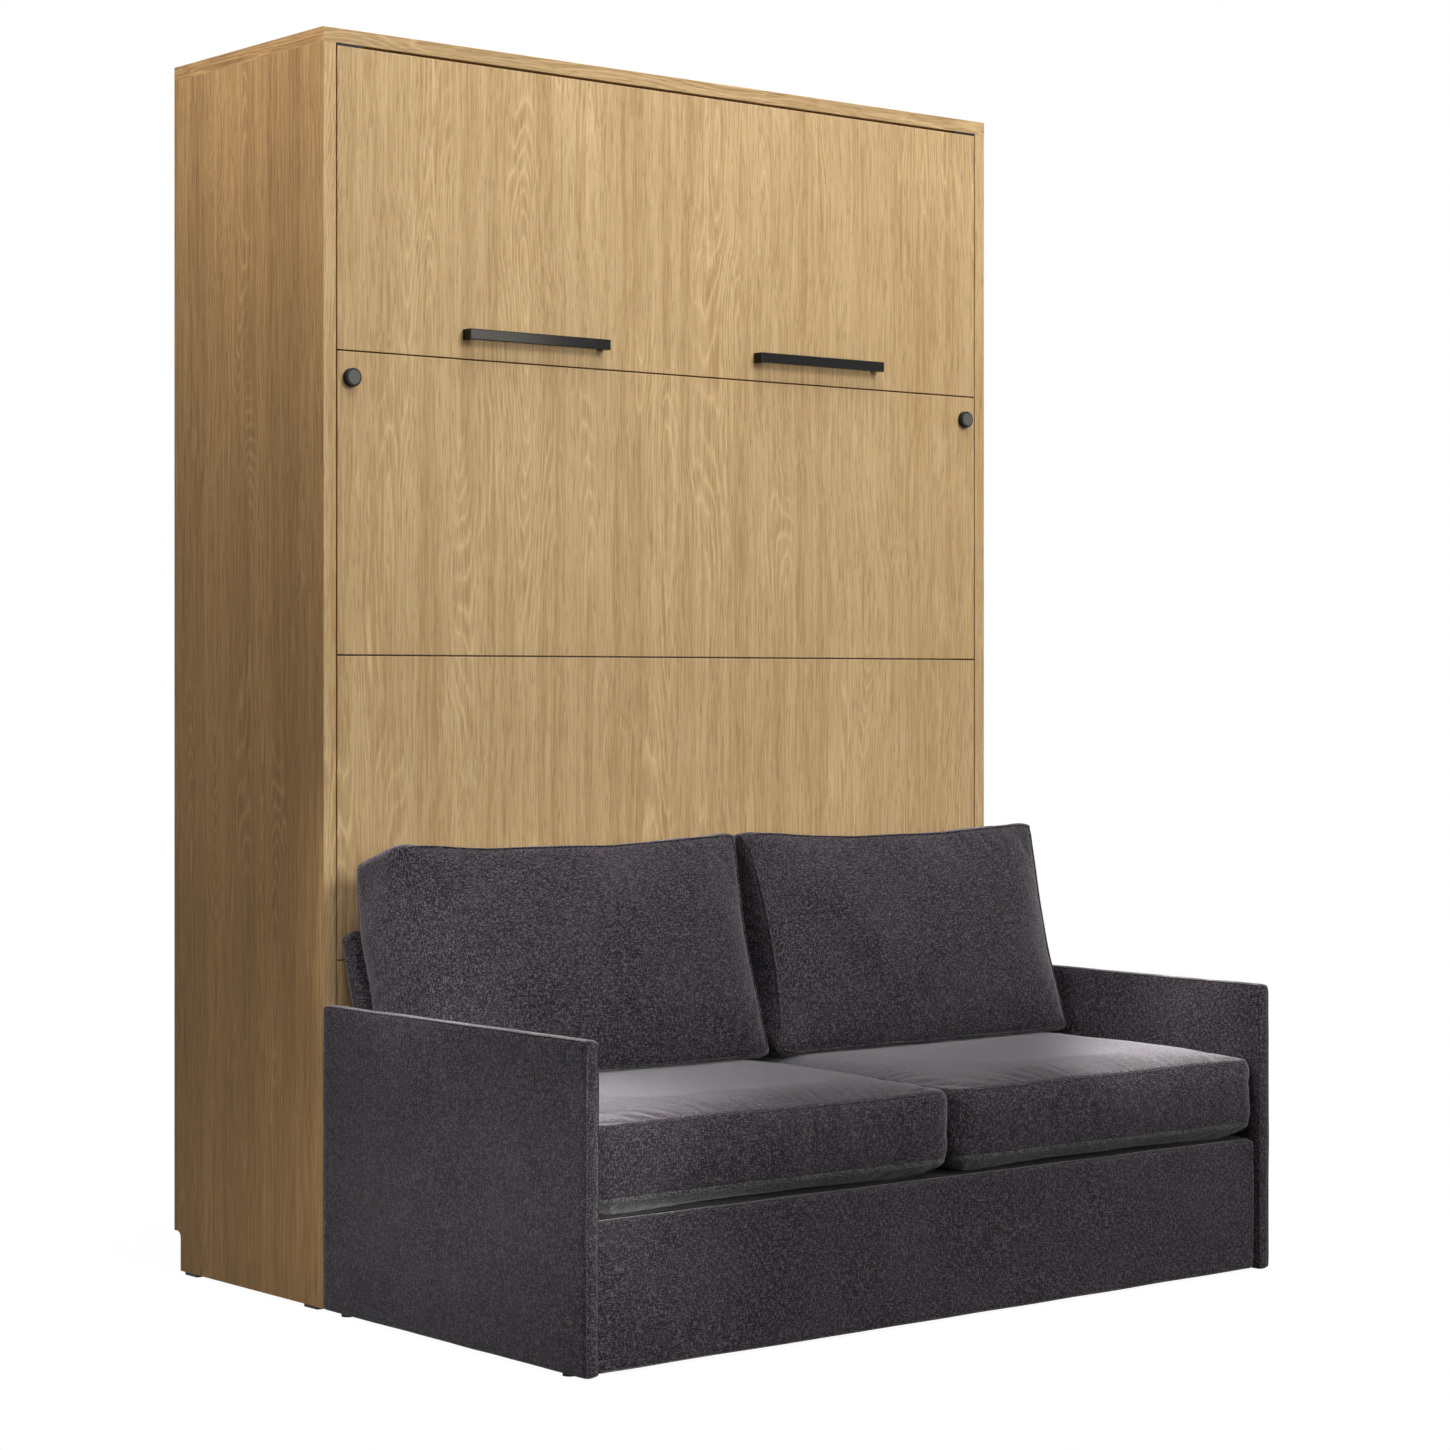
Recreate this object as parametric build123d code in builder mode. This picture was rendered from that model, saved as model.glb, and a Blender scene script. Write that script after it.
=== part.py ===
from build123d import *
from math import atan2, cos, degrees, hypot, pi, radians, sin
import os

os.makedirs("parts", exist_ok=True)

# Millimetres. X runs along the wall, Y from the sofa to the wall, Z up from the floor.
# The origin is on the floor, under the middle of the whole piece of furniture.

# The cabinet
cabinet_width = 1544
cabinet_depth = 500
cabinet_height = 2180
side_thickness = 25
top_thickness = 25
board_edge = 1
glide_height = 5
glide_length = 41
glide_front_inset = 22
glide_rear_inset = 15
skirting_depth = 22
skirting_height = 76
skirting_corner = 12
plinth_top = 70
back_thickness = 8
back_joint_height = 1116
back_joint_gap = 1
rear_rail_thickness = 18
rear_rail_height = 100
rear_rail_foot = 80
wall_hole_radius = 4
wall_hole_inset = 147
wall_hole_drop = 31
bumper_length = 56
bumper_depth = 16
bumper_inset = 1
stop_width = 20
stop_depth = 20
stop_height = 40
stop_drop = 105
stop_edge = 1.5

# The bed front: four boards that swing with the bed
door_thickness = 18
door_count = 4
door_foot = 76
door_side_gap = 2.5
door_top_gap = 4.5
door_seam = 2.5
batten_width = 60
batten_thickness = 10
handle_length = 308
handle_height = 19
handle_thickness = 9
handle_reach = 23
handle_above_seam = 43
handle_place_share = 0.42876
handle_edge = 1.5
handle_leg_width = 16

# The bed, standing on end behind its front
pivot_setback = 50
pivot_height = 490
rail_width = 34
rail_depth = 50
rail_wall = 2
rail_side_gap = 13
rail_foot = 100
rail_top_gap = 15
cap_thickness = 2
beam_width = 40
beam_depth = 30
slat_count = 14
slat_width = 53
slat_thickness = 8
slat_round = 3
holder_length = 28
holder_floor = 4
holder_wall = 4
side_board_thickness = 10
side_board_start = 950
upstand_depth = 92
end_board_thickness = 18
mattress_end_gap = 3.7
mattress_thickness = 170
mattress_round = 18
strap_thickness = 2
strap_width = 50
strap_place_shares = (0.25, 0.68)

# The pivots of the bed
pin_radius = 10
bush_wall = 4
flange_thickness = 2
flange_lip = 4
lever_thickness = 6
lever_boss = 30
lever_end_boss = 16
lever_foot_boss = 11
lever_foot_drop = 150
lever_foot_rise = 130
lever_length = 130
lever_angle = -70
lever_pin_radius = 6
plate_thickness = 6
plate_let_in = 4
plate_width = 70
plate_height = 130
plate_corner = 12
screw_hole_radius = 3
screw_spacing = 104

# The gas springs
anchor_setback = 120
anchor_rise = 400
anchor_plate = 50
anchor_plate_thickness = 4
anchor_head_thickness = 2
anchor_head_lip = 3
stud_radius = 5
cylinder_radius = 10
cylinder_length = 330
cylinder_bore_start = 100
neck_radius = 5
neck_length = 14
rod_radius = 5
rod_held = 50
eye_width = 12
eye_wall = 5

# The legs that pull out of the bed front
leg_radius = 12.5
leg_wall = 1.5
leg_length = 487
leg_below_seam = 45.5
leg_guide_wall = 2.5
pad_radius = 16
pad_thickness = 10
pad_round = 2

# The sofa
sofa_depth = 745
arm_thickness = 28
arm_overhang = 4
arm_height = 520
arm_round = 7
arm_foot = 3
foot_radius = 11
foot_inset = 60
skirt_thickness = 20
skirt_recess = 10
skirt_foot = 5
skirt_top = 240
rear_board_thickness = 18
rear_board_foot = 60
rear_board_top = 385
deck_thickness = 12
deck_hole_radius = 20
deck_hole_pitch = 120
bearer_thickness = 18
bearer_height = 108
bearer_place_share = 0.334
ledger_width = 20
ledger_height = 40
ledger_inset = 18
bolt_radius = 4
bolt_half_length = 30
bolt_low_level = 110
bolt_high_level = 380

# The seat cushions
seat_front_setback = 3
seat_seam_height = 388
seat_top = 400
seat_corner = 34
seat_crown_reach = 136
seat_drawn = 5
seat_band_height = 30
seat_band_inset = 12
cushion_parting = 2

# The backrest flap behind the loose cushions
backrest_lean = 17.5
backrest_top = 637
backrest_side_gap = 6
backrest_board_thickness = 18
backrest_pad_thickness = 16
backrest_tail = 22
backrest_corner = 12
backrest_pad_edge = 6
backrest_door_gap = 3
backrest_folded_gap = 4.5
flap_pin_radius = 6
flap_pin_length = 42
flap_bush_wall = 2
flap_bush_length = 14

# The loose back cushions
back_foot_setback = 288
back_belly_setback = 238
back_belly_height = 600
back_top_setback = 173
back_top_height = 798
back_rear_setback = 41
back_rear_height = 761
back_bulge = 18
back_sag = 12
back_end_draw = 22
back_corner = 18
back_side_gap = 7

# Clearances
overrun = 20
slip = 0.05
soft_gap = 0.3
pivot_gap = 0.5
side_clearance = 0.5

# Places that follow from the sizes
front = (sofa_depth - cabinet_depth) / 2
wall = front + cabinet_depth
cabinet_half = cabinet_width / 2
inner_half = cabinet_half - side_thickness
ceiling = cabinet_height - top_thickness
arm_outer = cabinet_half + arm_overhang
arm_inner = arm_outer - arm_thickness
door_half = inner_half - door_side_gap
door_back = front + door_thickness
door_top = ceiling - door_top_gap
door_height = (door_top - door_foot - (door_count - 1) * door_seam) / door_count
door_pitch = door_height + door_seam
upper_seam = door_foot + (door_count - 1) * door_pitch - door_seam / 2
handle_level = upper_seam + handle_above_seam
handle_from_centre = handle_place_share * cabinet_half
leg_level = upper_seam - leg_below_seam
rail_outer = inner_half - rail_side_gap
rail_inner = rail_outer - rail_width
rail_from_centre = (rail_inner + rail_outer) / 2
rail_back = door_back + rail_depth
rail_top = ceiling - rail_top_gap
upstand_back = rail_back + upstand_depth
mattress_front = rail_back + soft_gap
mattress_foot = rail_foot + end_board_thickness + soft_gap
mattress_length = rail_top - end_board_thickness - mattress_end_gap - mattress_foot
mattress_back = mattress_front + mattress_thickness
pivot_y = front + pivot_setback
open_level = pivot_height - pivot_setback
lever_outer = rail_outer + lever_thickness
bush_end = lever_outer + flange_thickness
plate_face = inner_half + plate_let_in - plate_thickness
lever_y = pivot_y + lever_length * cos(radians(lever_angle))
lever_z = pivot_height + lever_length * sin(radians(lever_angle))
anchor_y = pivot_y + anchor_setback
anchor_z = pivot_height + anchor_rise
spring_length = hypot(lever_y - anchor_y, lever_z - anchor_z)
open_lever_y = pivot_y - (lever_z - pivot_height)
open_lever_z = pivot_height + (lever_y - pivot_y)
spring_open_length = hypot(open_lever_y - anchor_y, open_lever_z - anchor_z)
leg_travel = open_level - pad_thickness - 2 * soft_gap
sofa_front = front - sofa_depth
skirt_front = sofa_front + skirt_recess
seat_base = skirt_top + soft_gap
flap_behind = backrest_board_thickness / 2
flap_ahead = backrest_board_thickness / 2 + backrest_pad_thickness
flap_z = open_level - backrest_folded_gap - flap_behind
lean = radians(backrest_lean)
backrest_half_width = arm_inner - backrest_side_gap
flap_rise = (backrest_top - flap_z + flap_behind * sin(lean)) / cos(lean)
flap_y = front - backrest_door_gap - flap_rise * sin(lean) - flap_behind * cos(lean)
rear_board_front = flap_y - flap_ahead / cos(lean) - soft_gap
seat_rear = rear_board_front - soft_gap
cushion_foot = seat_top + soft_gap


def sided(side, inner, outer):
    """A stretch from inner to outer, on the left where side is -1, on the right where it is 1."""
    return tuple(sorted((side * inner, side * outer)))


def around(centre, size):
    """A stretch of one size with its middle at centre."""
    return (centre - size / 2, centre + size / 2)


def block(xs, ys, zs, mode=Mode.ADD):
    """Adds a box that fills the stretches xs, ys and zs."""
    with Locations(((xs[0] + xs[1]) / 2, (ys[0] + ys[1]) / 2, (zs[0] + zs[1]) / 2)):
        Box(xs[1] - xs[0], ys[1] - ys[0], zs[1] - zs[0], mode=mode)


def bar_along_x(xs, y, z, radius, mode=Mode.ADD):
    """Adds a round bar along X."""
    with BuildSketch(Plane.YZ.offset(xs[0])) as profile:
        with Locations((y, z)):
            Circle(radius)
    extrude(profile.sketch, amount=xs[1] - xs[0], mode=mode)


def bar_along_y(ys, x, z, radius, mode=Mode.ADD):
    """Adds a round bar along Y."""
    with BuildSketch(Plane.XZ.offset(-ys[1])) as profile:
        with Locations((x, z)):
            Circle(radius)
    extrude(profile.sketch, amount=ys[1] - ys[0], mode=mode)


def save(piece, label):
    """Names a finished piece and writes it."""
    piece.part.label = label
    export_step(piece.part, f"parts/{label}.step")


def front_edges(piece):
    """The edges round the face that looks at the room."""
    return piece.faces().sort_by(Axis.Y)[0].edges()


# Cabinet case
def side_panel(side, label):
    """A side of the case, notched for the skirting board and let in for the pivot plate."""
    xs = sided(side, inner_half, cabinet_half)
    pocket = sided(side, inner_half - overrun, inner_half + plate_let_in)
    with BuildPart() as panel:
        block(xs, (front, wall), (glide_height, ceiling))
        fillet(front_edges(panel).filter_by(Axis.Z), board_edge)
        block(xs, (wall - skirting_depth, wall + overrun), (0, skirting_height), Mode.SUBTRACT)
        notch = (side * cabinet_half, wall - skirting_depth, skirting_height)
        fillet(panel.edges().filter_by(Axis.X).sort_by_distance(notch)[0], skirting_corner)
        block(
            pocket,
            around(pivot_y, plate_width + 2 * slip),
            around(pivot_height, plate_height + 2 * slip),
            Mode.SUBTRACT,
        )
        fillet(pocket_corners(panel, side), plate_corner)
        for level in (bolt_low_level, bolt_high_level):
            bar_along_y(
                (front - overrun, front + bolt_half_length),
                side * bolt_x(),
                level,
                bolt_radius + slip,
                Mode.SUBTRACT,
            )
    save(panel, label)


def pocket_corners(panel, side):
    """The four short edges at the corners of the pivot plate's pocket."""
    middle = (side * (inner_half + plate_let_in), pivot_y, pivot_height)
    return panel.edges().filter_by(Axis.X).sort_by_distance(middle)[:4]


def bolt_x():
    """The bolts sit in the middle of what arm and case share."""
    return (arm_inner + cabinet_half) / 2


def cabinet_case():
    for side, name in ((-1, "left"), (1, "right")):
        side_panel(side, f"side_panel_{name}")

    with BuildPart() as top_panel:
        block((-cabinet_half, cabinet_half), (front, wall), (ceiling, cabinet_height))
        fillet(front_edges(top_panel).filter_by(Axis.X), board_edge)
    save(top_panel, "top_panel")

    with BuildPart() as plinth_board:
        block((-inner_half, inner_half), (front, door_back), (glide_height, plinth_top))
        fillet(front_edges(plinth_board).filter_by(Axis.X), board_edge)
    save(plinth_board, "plinth_board")

    top_hole = ceiling - rear_rail_height / 2
    low_hole = back_joint_height - wall_hole_drop
    back_face = wall - back_thickness

    with BuildPart() as back_panels:
        gap = back_joint_gap / 2
        for zs in ((skirting_height, back_joint_height - gap), (back_joint_height + gap, ceiling)):
            block((-inner_half, inner_half), (back_face, wall), zs)
        wall_holes(low_hole, top_hole)
    save(back_panels, "back_panels")

    with BuildPart() as rear_rails:
        for middle in (
            rear_rail_foot + rear_rail_height / 2,
            back_joint_height,
            ceiling - rear_rail_height / 2,
        ):
            block(
                (-inner_half, inner_half),
                (back_face - rear_rail_thickness, back_face),
                around(middle, rear_rail_height),
            )
        wall_holes(low_hole, top_hole)
    save(rear_rails, "rear_rails")

    with BuildPart() as cabinet_glides:
        rear = wall - skirting_depth - glide_rear_inset - glide_length
        for side in (-1, 1):
            for start in (front + glide_front_inset, rear):
                xs = sided(side, inner_half, cabinet_half - board_edge)
                block(xs, (start, start + glide_length), (0, glide_height))
    save(cabinet_glides, "cabinet_glides")


def wall_holes(low, high):
    """Four holes for the screws that hold the cabinet to the wall, at two heights."""
    across = 2 * (inner_half - wall_hole_inset)
    with BuildSketch(Plane.XZ.offset(-wall - overrun)) as pattern:
        with Locations((0, (low + high) / 2)):
            with GridLocations(across, high - low, 2, 2):
                Circle(wall_hole_radius)
    depth = 2 * overrun + back_thickness + rear_rail_thickness
    extrude(pattern.sketch, amount=depth, mode=Mode.SUBTRACT)


def case_fittings():
    """The rubber bumpers over the front, the closing stops, and the pivots on the case."""
    with BuildPart() as top_bumpers:
        ys = (front + bumper_inset, front + bumper_inset + bumper_depth)
        for side in (-1, 1):
            xs = sided(side, inner_half - bumper_length, inner_half)
            block(xs, ys, (door_top + pivot_gap, ceiling))
    save(top_bumpers, "top_bumpers")

    with BuildPart() as closing_stops:
        start = upstand_back + pivot_gap
        for side in (-1, 1):
            xs = sided(side, inner_half - stop_width, inner_half)
            block(xs, (start, start + stop_depth), around(ceiling - stop_drop, stop_height))
        fillet(closing_stops.edges().filter_by(Axis.X), stop_edge)
    save(closing_stops, "closing_stops")

    with BuildPart() as pivot_plates:
        for side in (-1, 1):
            start, end = sided(side, plate_face, plate_face + plate_thickness)
            with BuildSketch(Plane.YZ.offset(start)):
                with Locations((pivot_y, pivot_height)):
                    RectangleRounded(plate_width, plate_height, plate_corner)
                    Circle(pin_radius + slip, mode=Mode.SUBTRACT)
                    with GridLocations(0, screw_spacing, 1, 2):
                        Circle(screw_hole_radius, mode=Mode.SUBTRACT)
            extrude(amount=end - start)
    save(pivot_plates, "pivot_plates")

    with BuildPart() as pivot_pins:
        for side in (-1, 1):
            xs = sided(side, rail_inner + pivot_gap, plate_face + plate_thickness)
            bar_along_x(xs, pivot_y, pivot_height, pin_radius)
        chamfer(pivot_pins.edges().filter_by(GeomType.CIRCLE), board_edge)
    save(pivot_pins, "pivot_pins")

    with BuildPart() as strut_anchors:
        inner_eye = rail_from_centre - eye_width / 2 - pivot_gap
        for side in (-1, 1):
            plate = sided(side, inner_half - anchor_plate_thickness, inner_half)
            stud = sided(side, inner_eye, inner_half - anchor_plate_thickness)
            head = sided(side, inner_eye - anchor_head_thickness, inner_eye)
            block(plate, around(anchor_y, anchor_plate), around(anchor_z, anchor_plate))
            bar_along_x(stud, anchor_y, anchor_z, stud_radius)
            bar_along_x(head, anchor_y, anchor_z, stud_radius + anchor_head_lip)
    save(strut_anchors, "strut_anchors")


# Bed front
def door_panel(index, label):
    """One board of the front, counted from the floor, with holes where a leg crosses it."""
    foot = door_foot + index * door_pitch
    with BuildPart() as panel:
        block((-door_half, door_half), (front, door_back), (foot, foot + door_height))
        fillet(front_edges(panel), board_edge)
        if foot < leg_level < foot + door_height:
            for side in (-1, 1):
                bar_along_y(
                    (front - overrun, door_back + overrun),
                    side * rail_from_centre,
                    leg_level,
                    leg_radius + pivot_gap,
                    Mode.SUBTRACT,
                )
    save(panel, label)


def bed_front():
    for index, name in enumerate(("bottom", "lower", "upper", "top")):
        door_panel(index, f"door_panel_{name}")

    with BuildPart() as door_battens:
        half = rail_inner - side_clearance
        for index in range(1, door_count):
            seam = door_foot + index * door_pitch - door_seam / 2
            block((-half, half), (door_back, door_back + batten_thickness), around(seam, batten_width))
    save(door_battens, "door_battens")

    bar_back = front - handle_reach + handle_thickness
    with BuildPart() as handle_bars:
        for side in (-1, 1):
            block(
                around(side * handle_from_centre, handle_length),
                (front - handle_reach, bar_back),
                around(handle_level, handle_height),
            )
        fillet(handle_bars.edges(), handle_edge)
    save(handle_bars, "handle_bars")

    with BuildPart() as handle_posts:
        for side in (-1, 1):
            for end in (-1, 1):
                middle = side * handle_from_centre + end * (handle_length - handle_leg_width) / 2
                block(
                    around(middle, handle_leg_width),
                    (bar_back, front),
                    around(handle_level, handle_height),
                )
        fillet(handle_posts.edges().filter_by(Axis.Y), handle_edge)
    save(handle_posts, "handle_posts")


# Bed frame
def bed_rail(side, label):
    """A long side tube of the bed, bored for the pivot's bush and the leg's guide."""
    with BuildPart() as rail:
        block(sided(side, rail_inner, rail_outer), (door_back, rail_back), (rail_foot, rail_top))
        fillet(rail.edges().filter_by(Axis.Z), rail_wall)
        block(
            sided(side, rail_inner + rail_wall, rail_outer - rail_wall),
            (door_back + rail_wall, rail_back - rail_wall),
            (rail_foot - overrun, rail_top + overrun),
            Mode.SUBTRACT,
        )
        bar_along_x(
            sided(side, rail_inner - overrun, rail_outer + overrun),
            pivot_y,
            pivot_height,
            pin_radius + slip + bush_wall + slip,
            Mode.SUBTRACT,
        )
        bar_along_y(
            (door_back - overrun, rail_back + overrun),
            side * rail_from_centre,
            leg_level,
            leg_radius + slip + leg_guide_wall + slip,
            Mode.SUBTRACT,
        )
    save(rail, label)


def slat_levels():
    """The middles of the slats, evenly spread under the mattress."""
    pitch = mattress_length / slat_count
    return [mattress_foot + (index + 1 / 2) * pitch for index in range(slat_count)]


def bed_frame():
    for side, name in ((-1, "left"), (1, "right")):
        bed_rail(side, f"bed_rail_{name}")

    with BuildPart() as bed_cross_tubes:
        for foot in (rail_foot, rail_top - rail_width):
            xs = (-rail_inner, rail_inner)
            block(xs, (door_back, rail_back), (foot, foot + rail_width))
            block(
                xs,
                (door_back + rail_wall, rail_back - rail_wall),
                (foot + rail_wall, foot + rail_width - rail_wall),
                Mode.SUBTRACT,
            )
    save(bed_cross_tubes, "bed_cross_tubes")

    slat_front = rail_back - slat_thickness
    beam_ys = (slat_front - beam_depth, slat_front)
    beam_zs = (rail_foot + rail_width, rail_top - rail_width)
    with BuildPart() as centre_beam:
        block(around(0, beam_width), beam_ys, beam_zs)
        block(
            around(0, beam_width - 2 * rail_wall),
            (beam_ys[0] + rail_wall, beam_ys[1] - rail_wall),
            beam_zs,
            Mode.SUBTRACT,
        )
    save(centre_beam, "centre_beam")

    slat_half = rail_inner - holder_wall
    with BuildPart() as slats:
        for level in slat_levels():
            block((-slat_half, slat_half), (slat_front, rail_back), around(level, slat_width))
        fillet(slats.edges().filter_by(Axis.X), slat_round)
    save(slats, "slats")

    with BuildPart() as slat_holders:
        for side in (-1, 1):
            for level in slat_levels():
                block(
                    sided(side, rail_inner - holder_length, rail_inner),
                    (slat_front - holder_floor, rail_back),
                    around(level, slat_width + 2 * slip + 2 * holder_wall),
                )
                block(
                    sided(side, rail_inner - holder_length - overrun, slat_half + slip),
                    (slat_front, rail_back + overrun),
                    around(level, slat_width + 2 * slip),
                    Mode.SUBTRACT,
                )
    save(slat_holders, "slat_holders")

    with BuildPart() as rail_caps:
        for side in (-1, 1):
            for foot in (rail_foot - cap_thickness, rail_top):
                block(
                    sided(side, rail_inner, rail_outer),
                    (door_back, rail_back),
                    (foot, foot + cap_thickness),
                )
    save(rail_caps, "rail_caps")


def mattress_and_boards():
    """What holds the mattress in place, and the mattress."""
    with BuildPart() as side_boards:
        for side in (-1, 1):
            xs = sided(side, rail_outer, rail_outer + side_board_thickness)
            block(xs, (door_back, upstand_back), (side_board_start, rail_top))
        fillet(side_boards.faces().sort_by(Axis.Y)[-2:].edges().filter_by(Axis.Z), board_edge)
    save(side_boards, "side_boards")

    with BuildPart() as end_boards:
        for foot in (rail_foot, rail_top - end_board_thickness):
            zs = (foot, foot + end_board_thickness)
            block((-rail_outer, rail_outer), (rail_back, upstand_back), zs)
        fillet(end_boards.faces().sort_by(Axis.Y)[-2:].edges().filter_by(Axis.X), board_edge)
    save(end_boards, "end_boards")

    with BuildPart() as mattress:
        block(
            (-rail_inner, rail_inner),
            (mattress_front, mattress_back),
            (mattress_foot, mattress_foot + mattress_length),
        )
        fillet(mattress.edges(), mattress_round)
    save(mattress, "mattress")

    inner = rail_inner + soft_gap
    with BuildPart() as mattress_straps:
        for place_share in strap_place_shares:
            zs = around(mattress_foot + place_share * mattress_length, strap_width)
            outer = inner + strap_thickness
            over = (rail_back, mattress_back + soft_gap + strap_thickness)
            block((-outer, outer), over, zs)
            block((-inner, inner), (rail_back, mattress_back + soft_gap), zs, Mode.SUBTRACT)
    save(mattress_straps, "mattress_straps")


# Bed pivots, gas springs and legs
def lever_plate_outline():
    """The plate is the hull of its bosses: pivot, spring end, and two feet on the rail."""
    rail_middle = door_back + rail_depth / 2
    with Locations((pivot_y, pivot_height)):
        Circle(lever_boss)
    with Locations((lever_y, lever_z)):
        Circle(lever_end_boss)
    with Locations(
        (rail_middle, pivot_height - lever_foot_drop), (rail_middle, pivot_height + lever_foot_rise)
    ):
        Circle(lever_foot_boss)
    make_hull()
    with Locations((pivot_y, pivot_height)):
        Circle(pin_radius + slip + bush_wall + slip, mode=Mode.SUBTRACT)
    with Locations((lever_y, lever_z)):
        Circle(lever_pin_radius + slip, mode=Mode.SUBTRACT)


def bed_pivots():
    with BuildPart() as lever_plates:
        for side in (-1, 1):
            with BuildSketch(Plane.YZ.offset(sided(side, rail_outer, lever_outer)[0])):
                lever_plate_outline()
            extrude(amount=lever_thickness)
    save(lever_plates, "lever_plates")

    with BuildPart() as lever_pins:
        inner = rail_from_centre + eye_width / 2 + pivot_gap
        for side in (-1, 1):
            bar_along_x(sided(side, inner, lever_outer), lever_y, lever_z, lever_pin_radius)
    save(lever_pins, "lever_pins")

    bush_radius = pin_radius + slip + bush_wall
    with BuildPart() as pivot_bushes:
        for side in (-1, 1):
            flange = sided(side, lever_outer, bush_end)
            bar_along_x(sided(side, rail_inner, lever_outer), pivot_y, pivot_height, bush_radius)
            bar_along_x(flange, pivot_y, pivot_height, bush_radius + flange_lip)
            hole = sided(side, rail_inner - overrun, bush_end + overrun)
            bar_along_x(hole, pivot_y, pivot_height, pin_radius + slip, Mode.SUBTRACT)
    save(pivot_bushes, "pivot_bushes")

    with BuildPart() as leg_guides:
        for side in (-1, 1):
            x = side * rail_from_centre
            bore = leg_radius + slip
            bar_along_y((door_back, rail_back), x, leg_level, bore + leg_guide_wall)
            hole = (door_back - overrun, rail_back + overrun)
            bar_along_y(hole, x, leg_level, bore, Mode.SUBTRACT)
    save(leg_guides, "leg_guides")


def spring_plane(side, distance):
    """A plane square to a gas spring, at a distance along it from its upper eye."""
    along_y = (lever_y - anchor_y) / spring_length
    along_z = (lever_z - anchor_z) / spring_length
    origin = (side * rail_from_centre, anchor_y + distance * along_y, anchor_z + distance * along_z)
    return Plane(origin=origin, x_dir=(1, 0, 0), z_dir=(0, along_y, along_z))


def spring_bar(side, start, end, radius, mode=Mode.ADD):
    """Adds a round bar along a gas spring."""
    with BuildSketch(spring_plane(side, start)) as profile:
        Circle(radius)
    extrude(profile.sketch, amount=end - start, mode=mode)


def spring_eye(side, y, z, hole_radius):
    """Adds the eye of a gas spring and bores it."""
    xs = around(side * rail_from_centre, eye_width)
    bar_along_x(xs, y, z, hole_radius + eye_wall)
    bar_along_x((xs[0] - overrun, xs[1] + overrun), y, z, hole_radius, Mode.SUBTRACT)


def gas_spring(side, name):
    """A gas spring at its full length, its upper eye on the case and its lower eye by the lever."""
    with BuildPart() as cylinder:
        spring_bar(side, 0, neck_length, neck_radius)
        spring_bar(side, neck_length, cylinder_length, cylinder_radius)
        bore_end = cylinder_length + overrun
        spring_bar(side, cylinder_bore_start, bore_end, rod_radius + slip, Mode.SUBTRACT)
        spring_eye(side, anchor_y, anchor_z, stud_radius + slip)
    save(cylinder, f"strut_cylinder_{name}")

    with BuildPart() as rod:
        spring_bar(side, cylinder_length - rod_held, spring_length, rod_radius)
        spring_eye(side, lever_y, lever_z, lever_pin_radius + slip)
    save(rod, f"strut_rod_{name}")


def leg(side, name):
    """A leg tube with the round foot that shows on the front."""
    x = side * rail_from_centre
    with BuildPart() as tube:
        ys = (front - soft_gap, front - soft_gap + leg_length)
        bar_along_y(ys, x, leg_level, leg_radius)
        bar_along_y((ys[0], ys[1]), x, leg_level, leg_radius - leg_wall, Mode.SUBTRACT)
    save(tube, f"leg_tube_{name}")

    with BuildPart() as pad:
        face = front - soft_gap
        bar_along_y((face - pad_thickness, face), x, leg_level, pad_radius)
        fillet(pad.edges().sort_by(Axis.Y)[0], pad_round)
    save(pad, f"leg_pad_{name}")


# Sofa
def sofa_arm(side, label):
    """A thin upholstered arm that stands on the floor and butts against the case."""
    with BuildPart() as arm:
        block(sided(side, arm_inner, arm_outer), (sofa_front, front), (arm_foot, arm_height))
        fillet(arm.faces().sort_by(Axis.Z)[-1].edges().filter_by(Axis.Y), arm_round)
        fillet(front_edges(arm), arm_round - board_edge)
        for level in (bolt_low_level, bolt_high_level):
            bar_along_y(
                (front - bolt_half_length, front + overrun),
                side * bolt_x(),
                level,
                bolt_radius + slip,
                Mode.SUBTRACT,
            )
        bar_along_x(
            sided(side, arm_inner - overrun, arm_inner + flap_bush_length),
            flap_y,
            flap_z,
            flap_pin_radius + slip + flap_bush_wall + slip,
            Mode.SUBTRACT,
        )
    save(arm, label)


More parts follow.
